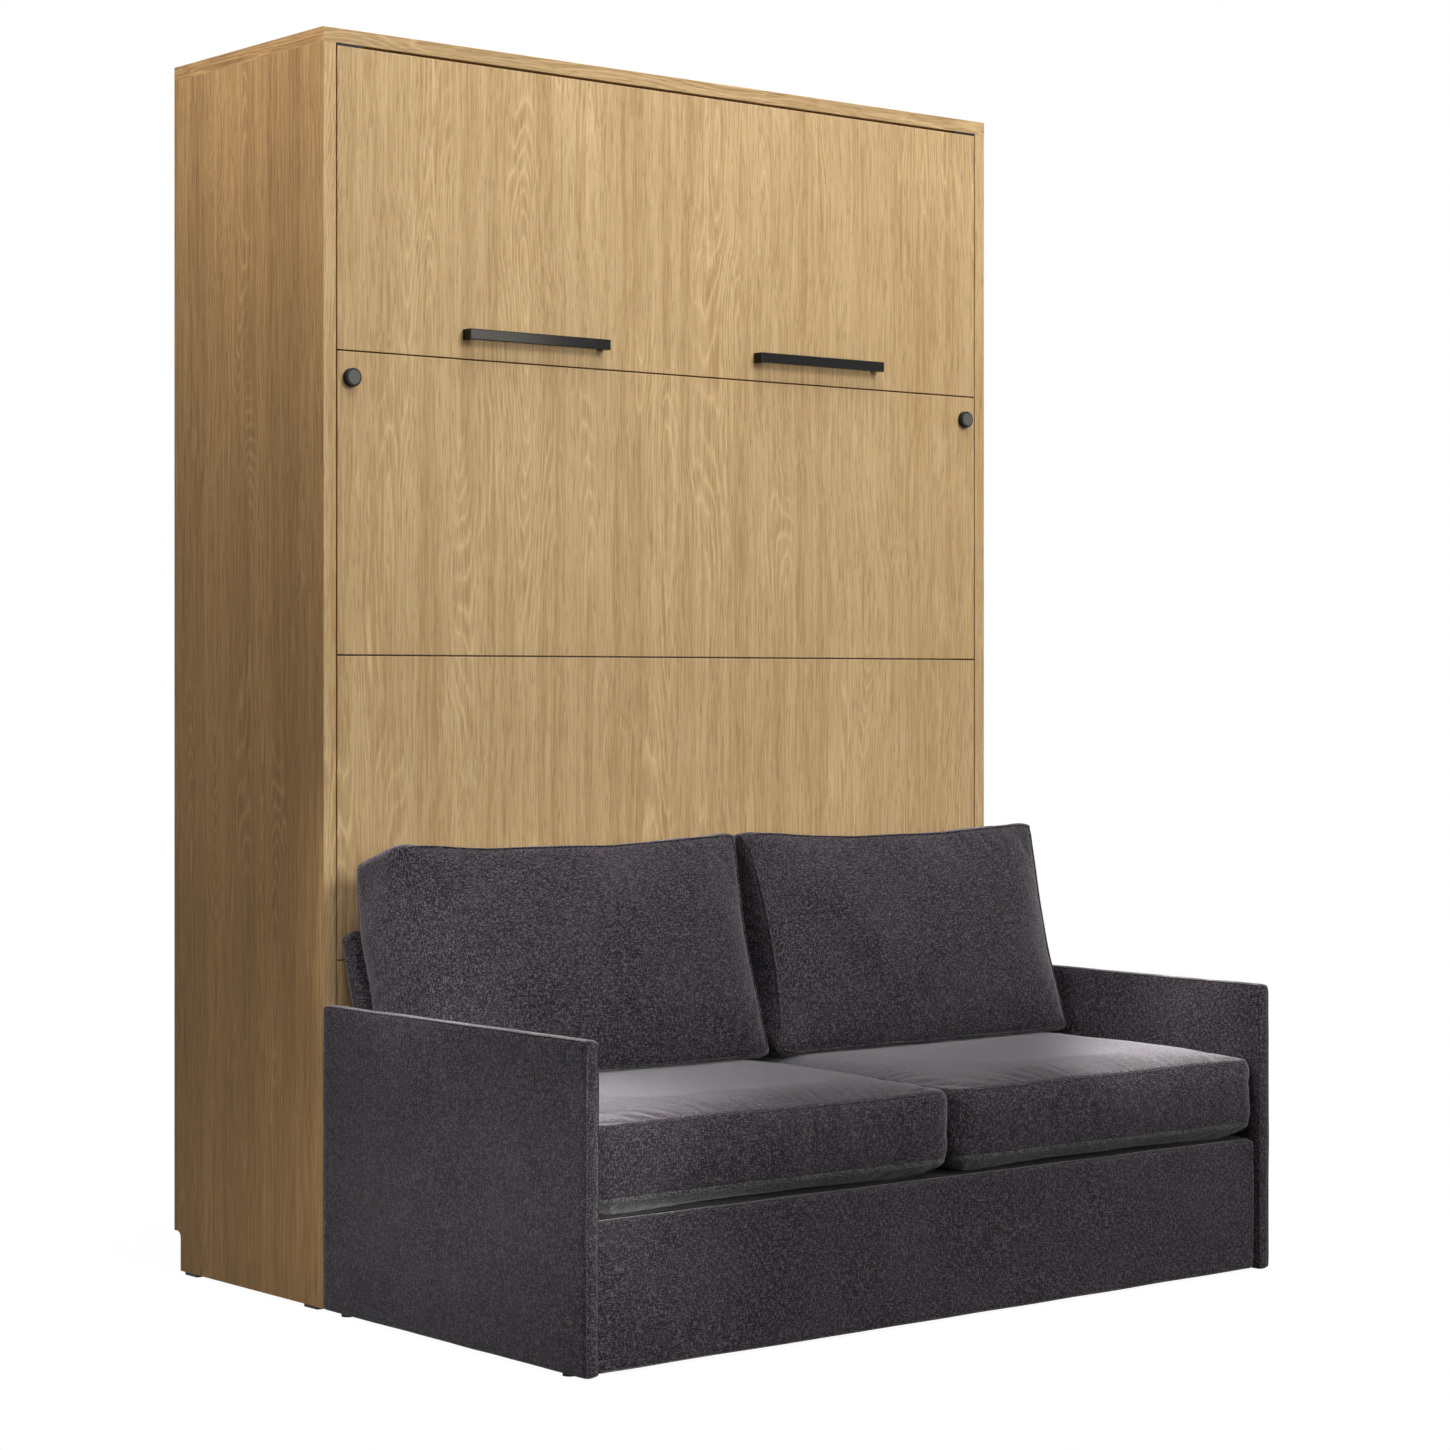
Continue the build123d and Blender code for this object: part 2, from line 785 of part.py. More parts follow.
def sofa_base():
    for side, name in ((-1, "left"), (1, "right")):
        sofa_arm(side, f"sofa_arm_{name}")

    across = (-arm_inner, arm_inner)
    deck_foot = skirt_top - deck_thickness
    inside = (skirt_front + skirt_thickness, rear_board_front)

    with BuildPart() as seat_front_board:
        block(across, (skirt_front, inside[0]), (skirt_foot, skirt_top))
        fillet(front_edges(seat_front_board).filter_by(Axis.X), arm_round)
    save(seat_front_board, "seat_front_board")

    with BuildPart() as seat_rear_board:
        ys = (rear_board_front, rear_board_front + rear_board_thickness)
        block(across, ys, (rear_board_foot, rear_board_top))
    save(seat_rear_board, "seat_rear_board")

    with BuildPart() as seat_deck:
        block(across, inside, (deck_foot, skirt_top))
        columns = int(2 * arm_inner / deck_hole_pitch) - 1
        rows = int((inside[1] - inside[0]) / deck_hole_pitch) - 1
        with BuildSketch(Plane.XY.offset(skirt_top)):
            with Locations((0, (inside[0] + inside[1]) / 2)):
                with GridLocations(deck_hole_pitch, deck_hole_pitch, columns, rows):
                    Circle(deck_hole_radius)
        extrude(amount=-deck_thickness, mode=Mode.SUBTRACT)
    save(seat_deck, "seat_deck")

    with BuildPart() as seat_bearers:
        for side in (-1, 1):
            xs = around(side * bearer_place_share * arm_inner, bearer_thickness)
            block(xs, inside, (deck_foot - bearer_height, deck_foot))
    save(seat_bearers, "seat_bearers")

    with BuildPart() as seat_ledgers:
        for side in (-1, 1):
            xs = sided(side, arm_inner - ledger_width, arm_inner)
            ys = (inside[0] + ledger_inset, inside[1] - ledger_inset)
            block(xs, ys, (deck_foot - ledger_height, deck_foot))
    save(seat_ledgers, "seat_ledgers")

    with BuildPart() as sofa_glides:
        for y in (sofa_front + foot_inset, front - foot_inset):
            with BuildSketch(Plane.XY):
                middle = (arm_inner + arm_outer) / 2
                with Locations((-middle, y), (middle, y)):
                    Circle(foot_radius)
            extrude(amount=arm_foot)
    save(sofa_glides, "sofa_glides")

    with BuildPart() as sofa_connector_bolts:
        for side in (-1, 1):
            for level in (bolt_low_level, bolt_high_level):
                ys = around(front, 2 * (bolt_half_length - soft_gap))
                bar_along_y(ys, side * bolt_x(), level, bolt_radius)
    save(sofa_connector_bolts, "sofa_connector_bolts")

    bush_radius = flap_pin_radius + slip + flap_bush_wall
    with BuildPart() as backrest_bushes:
        for side in (-1, 1):
            xs = sided(side, arm_inner, arm_inner + flap_bush_length)
            bar_along_x(xs, flap_y, flap_z, bush_radius)
            hole = (xs[0] - overrun, xs[1] + overrun)
            bar_along_x(hole, flap_y, flap_z, flap_pin_radius + slip, Mode.SUBTRACT)
    save(backrest_bushes, "backrest_bushes")


# Soft forms
def cushion_outline(width, depth, corner, drawn):
    """A cushion seen from above: round corners, and sides that draw in between them."""
    half_x = width / 2
    half_y = depth / 2
    bend = corner * (1 - cos(radians(45)))
    corners = ((1, -1), (1, 1), (-1, 1), (-1, -1))
    with BuildLine() as outline:
        for index, (sx, sy) in enumerate(corners):
            along_x = (sx * (half_x - corner), sy * half_y)
            along_y = (sx * half_x, sy * (half_y - corner))
            start, end = (along_x, along_y) if sx * sy < 0 else (along_y, along_x)
            ThreePointArc(start, (sx * (half_x - bend), sy * (half_y - bend)), end)
            nx, ny = corners[(index + 1) % len(corners)]
            if sx == nx:
                following = (nx * half_x, ny * (half_y - corner))
                ThreePointArc(end, (sx * (half_x - drawn), 0), following)
            else:
                following = (nx * (half_x - corner), ny * half_y)
                ThreePointArc(end, (0, sy * (half_y - drawn)), following)
    make_face(outline.edges())


# Each row is a height as a share of the band or the crown, and an inset as a share of its reach.
seat_band_shares = ((0, 1), (0.25, 0.4), (0.6, 0.1), (1, 0))
seat_crown_shares = ((0, 0), (0.35, 0.08), (0.65, 0.3), (0.88, 0.62), (1, 1))


def seat_cushion(side, label):
    """A seat cushion: a rounded lower band, upright sides and a crowned top."""
    xs = sided(side, cushion_parting / 2, arm_inner - side_clearance)
    ys = (sofa_front + seat_front_setback, seat_rear)
    middle = ((xs[0] + xs[1]) / 2, (ys[0] + ys[1]) / 2)
    levels = []
    for rise, inset in seat_band_shares:
        levels.append((seat_base + rise * seat_band_height, inset * seat_band_inset))
    for rise, inset in seat_crown_shares:
        levels.append((seat_seam_height + rise * (seat_top - seat_seam_height), inset * seat_crown_reach))
    with BuildPart() as cushion:
        for level, inset in levels:
            with BuildSketch(Plane(origin=(middle[0], middle[1], level))):
                cushion_outline(
                    xs[1] - xs[0] - 2 * inset, ys[1] - ys[0] - 2 * inset, seat_corner, seat_drawn
                )
        loft(ruled=True)
    save(cushion, label)


def flap_front_y(z):
    """Where the front of the backrest pad is at a height."""
    return flap_y - (flap_ahead - (z - flap_z) * sin(lean)) / cos(lean)


def back_section(fullness):
    """A slice of a back cushion, seen from its end: flat foot, leaning back, bulging front."""
    drawn = (1 - fullness) * back_end_draw
    lift = (1 - fullness) * back_sag
    rear_gap = soft_gap + drawn / 2
    foot_front = (front - back_foot_setback + drawn, cushion_foot)
    belly = (front - back_belly_setback - fullness * back_bulge + drawn, back_belly_height)
    top_front = (front - back_top_setback + drawn / 2, back_top_height - back_sag + lift - drawn)
    top_back = (front - back_rear_setback - drawn / 2, back_rear_height - back_sag + lift - drawn)
    bend_z = backrest_top
    bend = (flap_front_y(bend_z) - rear_gap, bend_z)
    foot_back = (flap_front_y(cushion_foot) - rear_gap, cushion_foot)
    peak_y = (top_front[0] + top_back[0]) / 2
    peak_z = (top_front[1] + top_back[1]) / 2 + back_corner / 2
    with BuildLine() as outline:
        ThreePointArc(foot_front, belly, top_front)
        ThreePointArc(top_front, (peak_y, peak_z), top_back)
        Line(top_back, bend)
        Line(bend, foot_back)
        Line(foot_back, foot_front)
    make_face(outline.edges())


# Places across a back cushion and how full it is there, as shares
back_fullness_shares = ((0, 0), (0.03, 0.45), (0.1, 0.72), (0.25, 0.9), (0.5, 1))


def back_cushion(side, label):
    """A loose back cushion: full in the middle and drawn in towards its ends."""
    start, end = sided(side, cushion_parting, arm_inner - back_side_gap)
    stations = [(place, full) for place, full in back_fullness_shares]
    stations += [(1 - place, full) for place, full in reversed(back_fullness_shares[:-1])]
    with BuildPart() as cushion:
        for place, full in stations:
            with BuildSketch(Plane.YZ.offset(start + place * (end - start))):
                back_section(full)
        loft(ruled=True)
    save(cushion, label)


def flap_layer(ahead, behind, edge, label):
    """One layer of the backrest, between two distances from its pivot line, round at the top."""
    base = Plane(
        origin=(0, flap_y - ahead * cos(lean), flap_z + ahead * sin(lean)),
        x_dir=(1, 0, 0),
        z_dir=(0, -cos(lean), sin(lean)),
    )
    with BuildPart() as layer:
        with BuildSketch(base) as outline:
            with Locations((0, (flap_rise - backrest_tail) / 2)):
                Rectangle(2 * backrest_half_width, flap_rise + backrest_tail)
            fillet(outline.vertices().group_by(Axis.Y)[-1], backrest_corner)
        extrude(amount=-(ahead - behind))
        if edge:
            fillet(layer.faces().sort_by(Axis.Y)[0].edges(), edge)
        if behind < 0:
            for side in (-1, 1):
                hole = sided(side, backrest_half_width - flap_pin_length / 2, arm_outer)
                bar_along_x(hole, flap_y, flap_z, flap_pin_radius + slip, Mode.SUBTRACT)
    save(layer, label)


def backrest():
    """The flap: a board with a pad, on two pins that turn in the arms."""
    flap_layer(flap_ahead, flap_behind, backrest_pad_edge, "backrest_pad")
    flap_layer(flap_behind, -flap_behind, 0, "backrest_board")
    with BuildPart() as backrest_pins:
        for side in (-1, 1):
            inner = backrest_half_width - flap_pin_length / 2
            outer = arm_inner + flap_bush_length - soft_gap
            bar_along_x(sided(side, inner, outer), flap_y, flap_z, flap_pin_radius)
    save(backrest_pins, "backrest_pins")


cabinet_case()
case_fittings()
bed_front()
bed_frame()
mattress_and_boards()
bed_pivots()
for side, name in ((-1, "left"), (1, "right")):
    gas_spring(side, name)
    leg(side, name)
sofa_base()
for side, name in ((-1, "left"), (1, "right")):
    seat_cushion(side, f"seat_cushion_{name}")
    back_cushion(side, f"back_cushion_{name}")
backrest()

swing = atan2(open_lever_z - anchor_z, open_lever_y - anchor_y)
swing -= atan2(lever_z - anchor_z, lever_y - anchor_y)
print("front", front, "pivot", pivot_y, pivot_height, "open level", open_level)
print("gas spring", spring_length, spring_open_length, "swing", degrees(swing % (2 * pi)))
print("leg travel", leg_travel, "flap pivot", flap_y, flap_z, "seat rear", seat_rear)
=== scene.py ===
# %% [markdown]
# # A wall bed with a sofa, dressed for its photograph
# The frame holds every board, tube and pin of the bed at its real size. What is left for Blender is
# what a maker's workshop would do last: lay the oak decor, lacquer the handles, stuff the cushions and
# sew their seams. Each step below first says what the piece is on the real bed and why it is made so.

# %% Load the frame
import math

import bmesh
import bpy
import numpy as np
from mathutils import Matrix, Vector, noise
from mathutils.bvhtree import BVHTree
from mathutils.kdtree import KDTree


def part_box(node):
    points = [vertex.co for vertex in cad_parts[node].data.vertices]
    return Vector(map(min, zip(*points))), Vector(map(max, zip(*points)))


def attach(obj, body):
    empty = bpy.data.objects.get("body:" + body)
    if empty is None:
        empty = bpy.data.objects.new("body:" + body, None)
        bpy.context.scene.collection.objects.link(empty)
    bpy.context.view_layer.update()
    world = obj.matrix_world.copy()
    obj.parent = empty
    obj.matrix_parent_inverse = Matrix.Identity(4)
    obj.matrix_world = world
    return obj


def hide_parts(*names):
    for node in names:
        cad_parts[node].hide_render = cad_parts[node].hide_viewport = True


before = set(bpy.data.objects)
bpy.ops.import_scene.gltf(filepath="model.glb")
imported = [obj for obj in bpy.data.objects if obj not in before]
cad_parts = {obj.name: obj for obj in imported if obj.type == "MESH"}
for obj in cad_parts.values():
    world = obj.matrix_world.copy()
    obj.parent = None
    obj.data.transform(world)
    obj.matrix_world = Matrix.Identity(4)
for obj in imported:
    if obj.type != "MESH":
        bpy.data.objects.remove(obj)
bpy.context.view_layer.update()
bpy.ops.object.select_all(action="DESELECT")

# %% [markdown]
# Places are read from the frame, so nothing here repeats a size that the boards already have. The front
# plane is the face that the four oak boards share with the edges of the case.

# %% Places read from the frame
mm = 0.001
front_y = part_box("side_panel_left")[0].y
arm_low, arm_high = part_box("sofa_arm_left")
arm_outer = -arm_low.x
arm_inner = -arm_high.x
seat_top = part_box("back_cushion_right")[0].z
print("front", front_y, "arms", arm_inner, arm_outer, "seat top", seat_top)

# %% [markdown]
# The camera stands to the left of the bed, level, with a long lens. Its place was worked out from the
# edges of the case: upright edges stay upright in the photograph, so the lens is shifted, not tilted.

# %% Camera
QUARTER = math.radians(90)
CAMERA_PLACE = (-3.8397, front_y - 4.8271, 1.060)
CAMERA_TURN = -39.27
camera_data = bpy.data.cameras.new("camera")
camera_data.sensor_width = 36
camera_data.lens = 83.17
camera_data.shift_y = -0.0266
camera = bpy.data.objects.new("camera", camera_data)
bpy.context.scene.collection.objects.link(camera)
camera.location = CAMERA_PLACE
camera.rotation_euler = (QUARTER, 0, math.radians(CAMERA_TURN))
bpy.context.scene.camera = camera
print("camera at", CAMERA_PLACE, "turned by", CAMERA_TURN, "degrees, lens", camera_data.lens, "mm")

# %% [markdown]
# A material is a small network of nodes. These helpers add a node with all its values in one line, do
# sums with sockets, spread a narrow stretch of values over 0 to 1 and mix two shaders.

# %% Helpers for nodes
def nodes_of(owner):
    """The node tree of a material or a world, emptied."""
    owner.use_nodes = True
    owner.node_tree.nodes.clear()
    return owner.node_tree


def add_node(tree, kind, **values):
    """Adds a node and sets its properties and its input sockets by name."""
    made = tree.nodes.new(kind)
    for key, value in values.items():
        name = key.replace("_", " ")
        socket = next((s for s in made.inputs if s.name.lower() == name.lower()), None)
        if hasattr(made, key):
            setattr(made, key, value)
        elif socket is not None:
            socket.default_value = value
        else:
            raise ValueError(f"{kind} has no {key}")
    return made


def feed(tree, socket, value):
    """Sets a socket to a number or a colour, or links another socket to it."""
    if hasattr(value, "is_linked"):
        tree.links.new(value, socket)
    else:
        socket.default_value = value


def math_node(tree, operation, *values):
    """A math node fed by sockets or numbers; gives its output socket."""
    made = add_node(tree, "ShaderNodeMath", operation=operation)
    for socket, value in zip(made.inputs, values):
        feed(tree, socket, value)
    return made.outputs[0]


def spread(tree, value, low, high):
    """Spreads the stretch from low to high over 0 to 1, smoothly."""
    made = add_node(tree, "ShaderNodeMapRange", interpolation_type="SMOOTHSTEP", From_Min=low, From_Max=high)
    tree.links.new(value, made.inputs["Value"])
    return made.outputs[0]


def mix_shaders(tree, share, first, second):
    """A node that goes from the first shader to the second by a share."""
    made = add_node(tree, "ShaderNodeMixShader")
    for socket, source in zip(made.inputs, (share, first.outputs[0], second.outputs[0])):
        tree.links.new(source, socket)
    return made


def seen_directly(tree):
    """1 for rays from the camera or off something glossy, 0 for those that only carry light."""
    path = add_node(tree, "ShaderNodeLightPath")
    return math_node(tree, "MAXIMUM", path.outputs["Is Camera Ray"], path.outputs["Is Glossy Ray"])


print("helpers for nodes are ready")

# %% [markdown]
# A studio floor is pale, and the camera sees it as plain white. The floor still catches the soft shadow near
# the sofa, so only rays that come straight from the camera are lifted to white, and those that bounce off
# metal see the same white. In a box right under the sofa the lift is left off, so the dark grey paint shows
# there as a painted shadow, seen between the cushions.

# %% Floor
FLOOR_SIZE = 60
FLOOR_GREY = (0.11, 0.11, 0.11, 1)
SHADOW_REACH = (0.9, 1.5)
# A box under the sofa where the floor shows its dark paint, as a painted shadow.
PAINTED_SHADOW_BOX = (("X", 0, 0.68), ("Y", -0.25, 0.30))
floor_material = bpy.data.materials.new("studio_floor")
tree = nodes_of(floor_material)
paint = add_node(
    tree, "ShaderNodeBsdfPrincipled", Base_Color=FLOOR_GREY, Roughness=0.95, Specular_IOR_Level=0
)
lift = add_node(tree, "ShaderNodeEmission", Strength=0.95)
white = add_node(tree, "ShaderNodeEmission", Strength=1.0)
lifted = add_node(tree, "ShaderNodeAddShader")
for socket, shader in zip(lifted.inputs, (paint, lift)):
    tree.links.new(shader.outputs[0], socket)
place = add_node(tree, "ShaderNodeTexCoord").outputs["Object"]
distance = add_node(tree, "ShaderNodeVectorMath", operation="LENGTH")
axes = add_node(tree, "ShaderNodeSeparateXYZ")
for node in (distance, axes):
    tree.links.new(place, node.inputs[0])
far = spread(tree, distance.outputs["Value"], *SHADOW_REACH)
under = [math_node(tree, "COMPARE", axes.outputs[axis], middle, reach) for axis, middle, reach in PAINTED_SHADOW_BOX]
beside = math_node(tree, "SUBTRACT", 1.0, math_node(tree, "MULTIPLY", *under))
shown = math_node(tree, "MULTIPLY", seen_directly(tree), beside)
floor_seen = mix_shaders(tree, far, lifted, white)
floor_out = add_node(tree, "ShaderNodeOutputMaterial")
tree.links.new(mix_shaders(tree, shown, paint, floor_seen).outputs[0], floor_out.inputs["Surface"])

bpy.ops.mesh.primitive_plane_add(size=FLOOR_SIZE, location=(0, 0, -0.5 * mm))
floor = bpy.context.object
floor.name = "studio_floor"
floor.data.materials.append(floor_material)
bpy.ops.object.select_all(action="DESELECT")
print("floor", FLOOR_SIZE, "m wide, plain white from", SHADOW_REACH[1], "m")

# %% [markdown]
# The sky gives a weak, even light. It is plain white only where it is looked at or mirrored.

# %% Sky
SKY_LEVEL = 0.10
world = bpy.data.worlds.new("studio_sky")
bpy.context.scene.world = world
sky = nodes_of(world)
sky_light = add_node(sky, "ShaderNodeBackground", Color=(1, 1, 1, 1), Strength=SKY_LEVEL)
sky_white = add_node(sky, "ShaderNodeBackground", Color=(1, 1, 1, 1), Strength=1.0)
sky_out = add_node(sky, "ShaderNodeOutputWorld")
sky_seen = mix_shaders(sky, seen_directly(sky), sky_light, sky_white)
sky.links.new(sky_seen.outputs[0], sky_out.inputs["Surface"])
print("sky level", SKY_LEVEL)

# %% [markdown]
# Large soft boxes stand where a photographer would put them. The key light comes from the right and in
# front, which leaves the left side of the case in shade, as in the photograph, and weaker ones fill in
# from the front, the top and both sides. Small, narrow ones graze the arms and the end of a cushion. The
# one for the far arm hangs where the mattress lies when the bed is down, so it never shines on the
# ticking. The last lamp shows only as a shine on the handles.

# %% Lights
def soft_box(name, place, target, size, power, spread_angle=180):
    """A square area light at a place, aimed at a target, and left out of the picture itself."""
    data = bpy.data.lights.new(name, "AREA")
    data.shape = "SQUARE"
    data.size = size
    data.energy = power
    data.spread = math.radians(spread_angle)
    light = bpy.data.objects.new(name, data)
    bpy.context.scene.collection.objects.link(light)
    light.location = place
    aim = Vector(target) - Vector(place)
    light.rotation_euler = aim.to_track_quat("-Z", "Y").to_euler()
    light.visible_camera = False
    print(name, size, "m wide,", power, "W")
    return light


soft_box("key_light", (1.7, -5.0, 4.2), (0, 0, 1.1), 2.2, 180)
soft_box("front_fill", (0.4, -6.0, 1.9), (0, 0, 0.8), 2.4, 56)
soft_box("top_light", (-0.1, -0.9, 4.9), (0, -0.3, 0.4), 2.6, 127)
soft_box("left_light", (-1.75, 0.3, 3.05), (-0.77, 0.3, 1.45), 0.8, 21)
soft_box("arm_light", (-1.75, -2.4, 0.75), (-0.776, -0.42, 0.27), 0.5, 0.8, 16)
soft_box("cushion_light", (-2.1, -0.36, 0.85), (-0.74, -0.10, 0.68), 0.3, 0.4, 18)
soft_box("far_arm_light", (-0.15, -0.95, 0.60), (0.76, -0.44, 0.49), 0.12, 0.33, 30)
soft_box("right_light", (3.2, 0.2, 1.1), (0.78, 0.2, 1.0), 1.6, 26)
shine = soft_box("handle_shine", (1.03, -2.4, 1.97), (-0.4, 0.1, 1.66), 0.75, 9)
shine.visible_diffuse = False
shine.data.color = (1.0, 0.92, 0.80)
bpy.context.scene.view_settings.view_transform = "Standard"

# %% [markdown]
# Two patterns are used all over this bed, so each is a node group: oak, with its fine pores and its
# arched figure, and the melange of the sofa's cloth, where light and dark threads cross. A group gives
# only values, and each material mixes its own colours from them.

# %% Helpers for patterns
def new_group(name, *outputs):
    """A group that a place goes into and numbers come out of; gives it and its place socket."""
    group = bpy.data.node_groups.new(name, "ShaderNodeTree")
    group.interface.new_socket("Vector", in_out="INPUT", socket_type="NodeSocketVector")
    for label in outputs:
        group.interface.new_socket(label, in_out="OUTPUT", socket_type="NodeSocketFloat")
    return group, group.nodes.new("NodeGroupInput").outputs["Vector"]


def finish_group(group, **values):
    """Leads each value out of a group by its name."""
    out = group.nodes.new("NodeGroupOutput")
    for key, value in values.items():
        group.links.new(value, out.inputs[key.replace("_", " ")])
    print(group.name, "gives", ", ".join(values))


def stretched_noise(tree, vector, scale, detail=3, roughness=0.55):
    """Noise on coordinates that are scaled apart along X, Y and Z; gives the value socket."""
    mapping = add_node(tree, "ShaderNodeMapping", Scale=scale)
    tree.links.new(vector, mapping.inputs["Vector"])
    made = add_node(tree, "ShaderNodeTexNoise", Scale=1.0, Detail=detail, Roughness=roughness)
    tree.links.new(mapping.outputs[0], made.inputs["Vector"])
    return made.outputs[0]


print("helpers for patterns are ready")

# %% [markdown]
# Oak is built up in layers. Slow noise bends the grain. Rings cut at a slant give the arched figure, in
# some places only. Strips, streaks and fibres run along the board in three widths, and short dark pores
# lie over them. Each layer of the grain has a stretch for every axis, a detail, the values it is spread
# between and its share of the tone.

# %% Oak pattern
BEND_REACH = 0.028
RING_COUNT = 92.0
RING_SHARPNESS = 3.0
GRAIN_LAYERS = (
    ((26, 26, 0.30), 2, 0.38, 0.62, 0.28),
    ((110, 110, 1.3), 3, 0.38, 0.62, 0.24),
    ((400, 400, 7), 2, 0.40, 0.60, 0.48),
)
oak_group, oak_place = new_group("oak_figure", "Figure", "Tone", "Pores")
bend = stretched_noise(oak_group, oak_place, (5, 5, 2.2), 2, 0.5)
bend = math_node(oak_group, "MULTIPLY", math_node(oak_group, "SUBTRACT", bend, 0.5), BEND_REACH)
pushed = add_node(oak_group, "ShaderNodeCombineXYZ")
for axis in ("X", "Y"):
    oak_group.links.new(bend, pushed.inputs[axis])
moved = add_node(oak_group, "ShaderNodeVectorMath", operation="ADD")
for socket, source in zip(moved.inputs, (oak_place, pushed.outputs[0])):
    oak_group.links.new(source, socket)
bent_place = moved.outputs[0]
arches = stretched_noise(oak_group, bent_place, (8.5, 8.5, 0.85), 1, 0.4)
ripple = stretched_noise(oak_group, bent_place, (90, 90, 16.0), 2, 0.6)
rings = math_node(oak_group, "MULTIPLY", arches, RING_COUNT)
rings = math_node(oak_group, "MULTIPLY_ADD", ripple, 1.5, rings)
rings = math_node(oak_group, "PINGPONG", rings, 1.0)
rings = math_node(oak_group, "POWER", rings, RING_SHARPNESS)
where = spread(oak_group, stretched_noise(oak_group, oak_place, (9, 9, 1.6), 1, 0.5), 0.49, 0.62)
figure = math_node(oak_group, "MULTIPLY", rings, where)
tone = 0
for stretch, detail, low, high, share in GRAIN_LAYERS:
    layer = spread(oak_group, stretched_noise(oak_group, bent_place, stretch, detail, 0.6), low, high)
    tone = math_node(oak_group, "MULTIPLY_ADD", layer, share, tone)
pores = spread(oak_group, stretched_noise(oak_group, bent_place, (480, 480, 24), 1, 0.5), 0.57, 0.68)
finish_group(oak_group, Figure=figure, Tone=tone, Pores=pores)

# %% [markdown]
# A melange cloth is woven from yarns that mix light and dark fibres. Noise drawn out along one axis
# stands for threads that run that way. The mean of three such noises, one for each axis, is high where
# light threads cross and low where dark ones do, whichever way a face looks.

# %% Cloth pattern
THREAD_ALONG = 125
THREAD_ACROSS = 560
cloth_group, cloth_place = new_group("crossed_threads", "Light Threads", "Dark Threads", "Tint", "Height")
weave = 0
for axis in range(3):
    stretch = [THREAD_ACROSS] * 3
    stretch[axis] = THREAD_ALONG
    threads = stretched_noise(cloth_group, cloth_place, stretch, 1, 0.6)
    weave = math_node(cloth_group, "MULTIPLY_ADD", threads, 1 / 3, weave)
blend = stretched_noise(cloth_group, cloth_place, (260, 260, 260), 2, 0.6)
finish_group(
    cloth_group,
    Light_Threads=spread(cloth_group, weave, 0.505, 0.570),
    Dark_Threads=spread(cloth_group, weave, 0.49, 0.42),
    Tint=spread(cloth_group, blend, 0.35, 0.65),
    Height=weave,
)

# %% [markdown]
# The boards are chipboard with an oak decor. The decor has a printed grain with a little relief, and a
# matt lacquer. Its grain runs up the front and the sides, along the top board, and back along that
# board's ends, so one function makes all four, with the coordinates turned for the boards that lie. The
# The sides and the ends of the top board are painted darker and warmer than the front, as painted shade for
# faces that turn away from the light. The boards that lie are a little darker than the front, as painted
# shade against the light from above.

# %% Oak materials
FIGURE_SHARE = 0.62
PORE_SHARE = 0.42


def mix_colours(tree, factor, first, second):
    """Mixes two colours by a value; each colour is a socket or four numbers."""
    made = add_node(tree, "ShaderNodeMix", data_type="RGBA")
    for label, value in (("Factor", factor), ("A", first), ("B", second)):
        feed(tree, made.inputs[label], value)
    return made.outputs["Result"]


def bump_from(tree, height, strength, distance):
    """A bump node fed by a height; gives its normal socket."""
    made = add_node(tree, "ShaderNodeBump", Strength=strength, Distance=distance)
    tree.links.new(height, made.inputs["Height"])
    return made.outputs["Normal"]


def start_material(name, **sockets):
    """A material with a Principled shader; gives the material, its tree, shader and coordinates."""
    material = bpy.data.materials.new(name)
    tree = nodes_of(material)
    shader = add_node(tree, "ShaderNodeBsdfPrincipled", **sockets)
    out = add_node(tree, "ShaderNodeOutputMaterial")
    tree.links.new(shader.outputs[0], out.inputs["Surface"])
    print("material", name)
    return material, tree, shader, add_node(tree, "ShaderNodeTexCoord").outputs["Object"]


def place_pattern(tree, group, place):
    """Puts a pattern group in a material; gives its outputs."""
    made = add_node(tree, "ShaderNodeGroup", node_tree=group)
    tree.links.new(place, made.inputs["Vector"])
    return made.outputs


def shaded(colour, factor, more=0.0):
    """A colour made darker or lighter, kept within what a surface can reflect."""
    return tuple(min(1, factor * part + more) for part in colour[:3]) + (1,)


def oak_material(name, turn, shift, light, dark):
    """Oak decor whose grain runs up, or along another axis where it is turned."""
    material, tree, shader, place = start_material(name, Specular_IOR_Level=0.1)
    mapping = add_node(tree, "ShaderNodeMapping", Rotation=turn, Location=shift)
    tree.links.new(place, mapping.inputs["Vector"])
    oak = place_pattern(tree, oak_group, mapping.outputs[0])
    colour = mix_colours(tree, oak["Tone"], dark, light)
    figure = math_node(tree, "MULTIPLY", oak["Figure"], FIGURE_SHARE)
    colour = mix_colours(tree, figure, colour, shaded(light, 1.25))
    pores = math_node(tree, "MULTIPLY", oak["Pores"], PORE_SHARE)
    colour = mix_colours(tree, pores, colour, shaded(dark, 0.62))
    relief = math_node(tree, "SUBTRACT", 1.0, math_node(tree, "ADD", oak["Pores"], oak["Figure"]))
    tree.links.new(colour, shader.inputs["Base Color"])
    tree.links.new(math_node(tree, "MULTIPLY_ADD", oak["Tone"], 0.12, 0.46), shader.inputs["Roughness"])
    tree.links.new(bump_from(tree, relief, 0.25, 0.4 * mm), shader.inputs["Normal"])
    return material
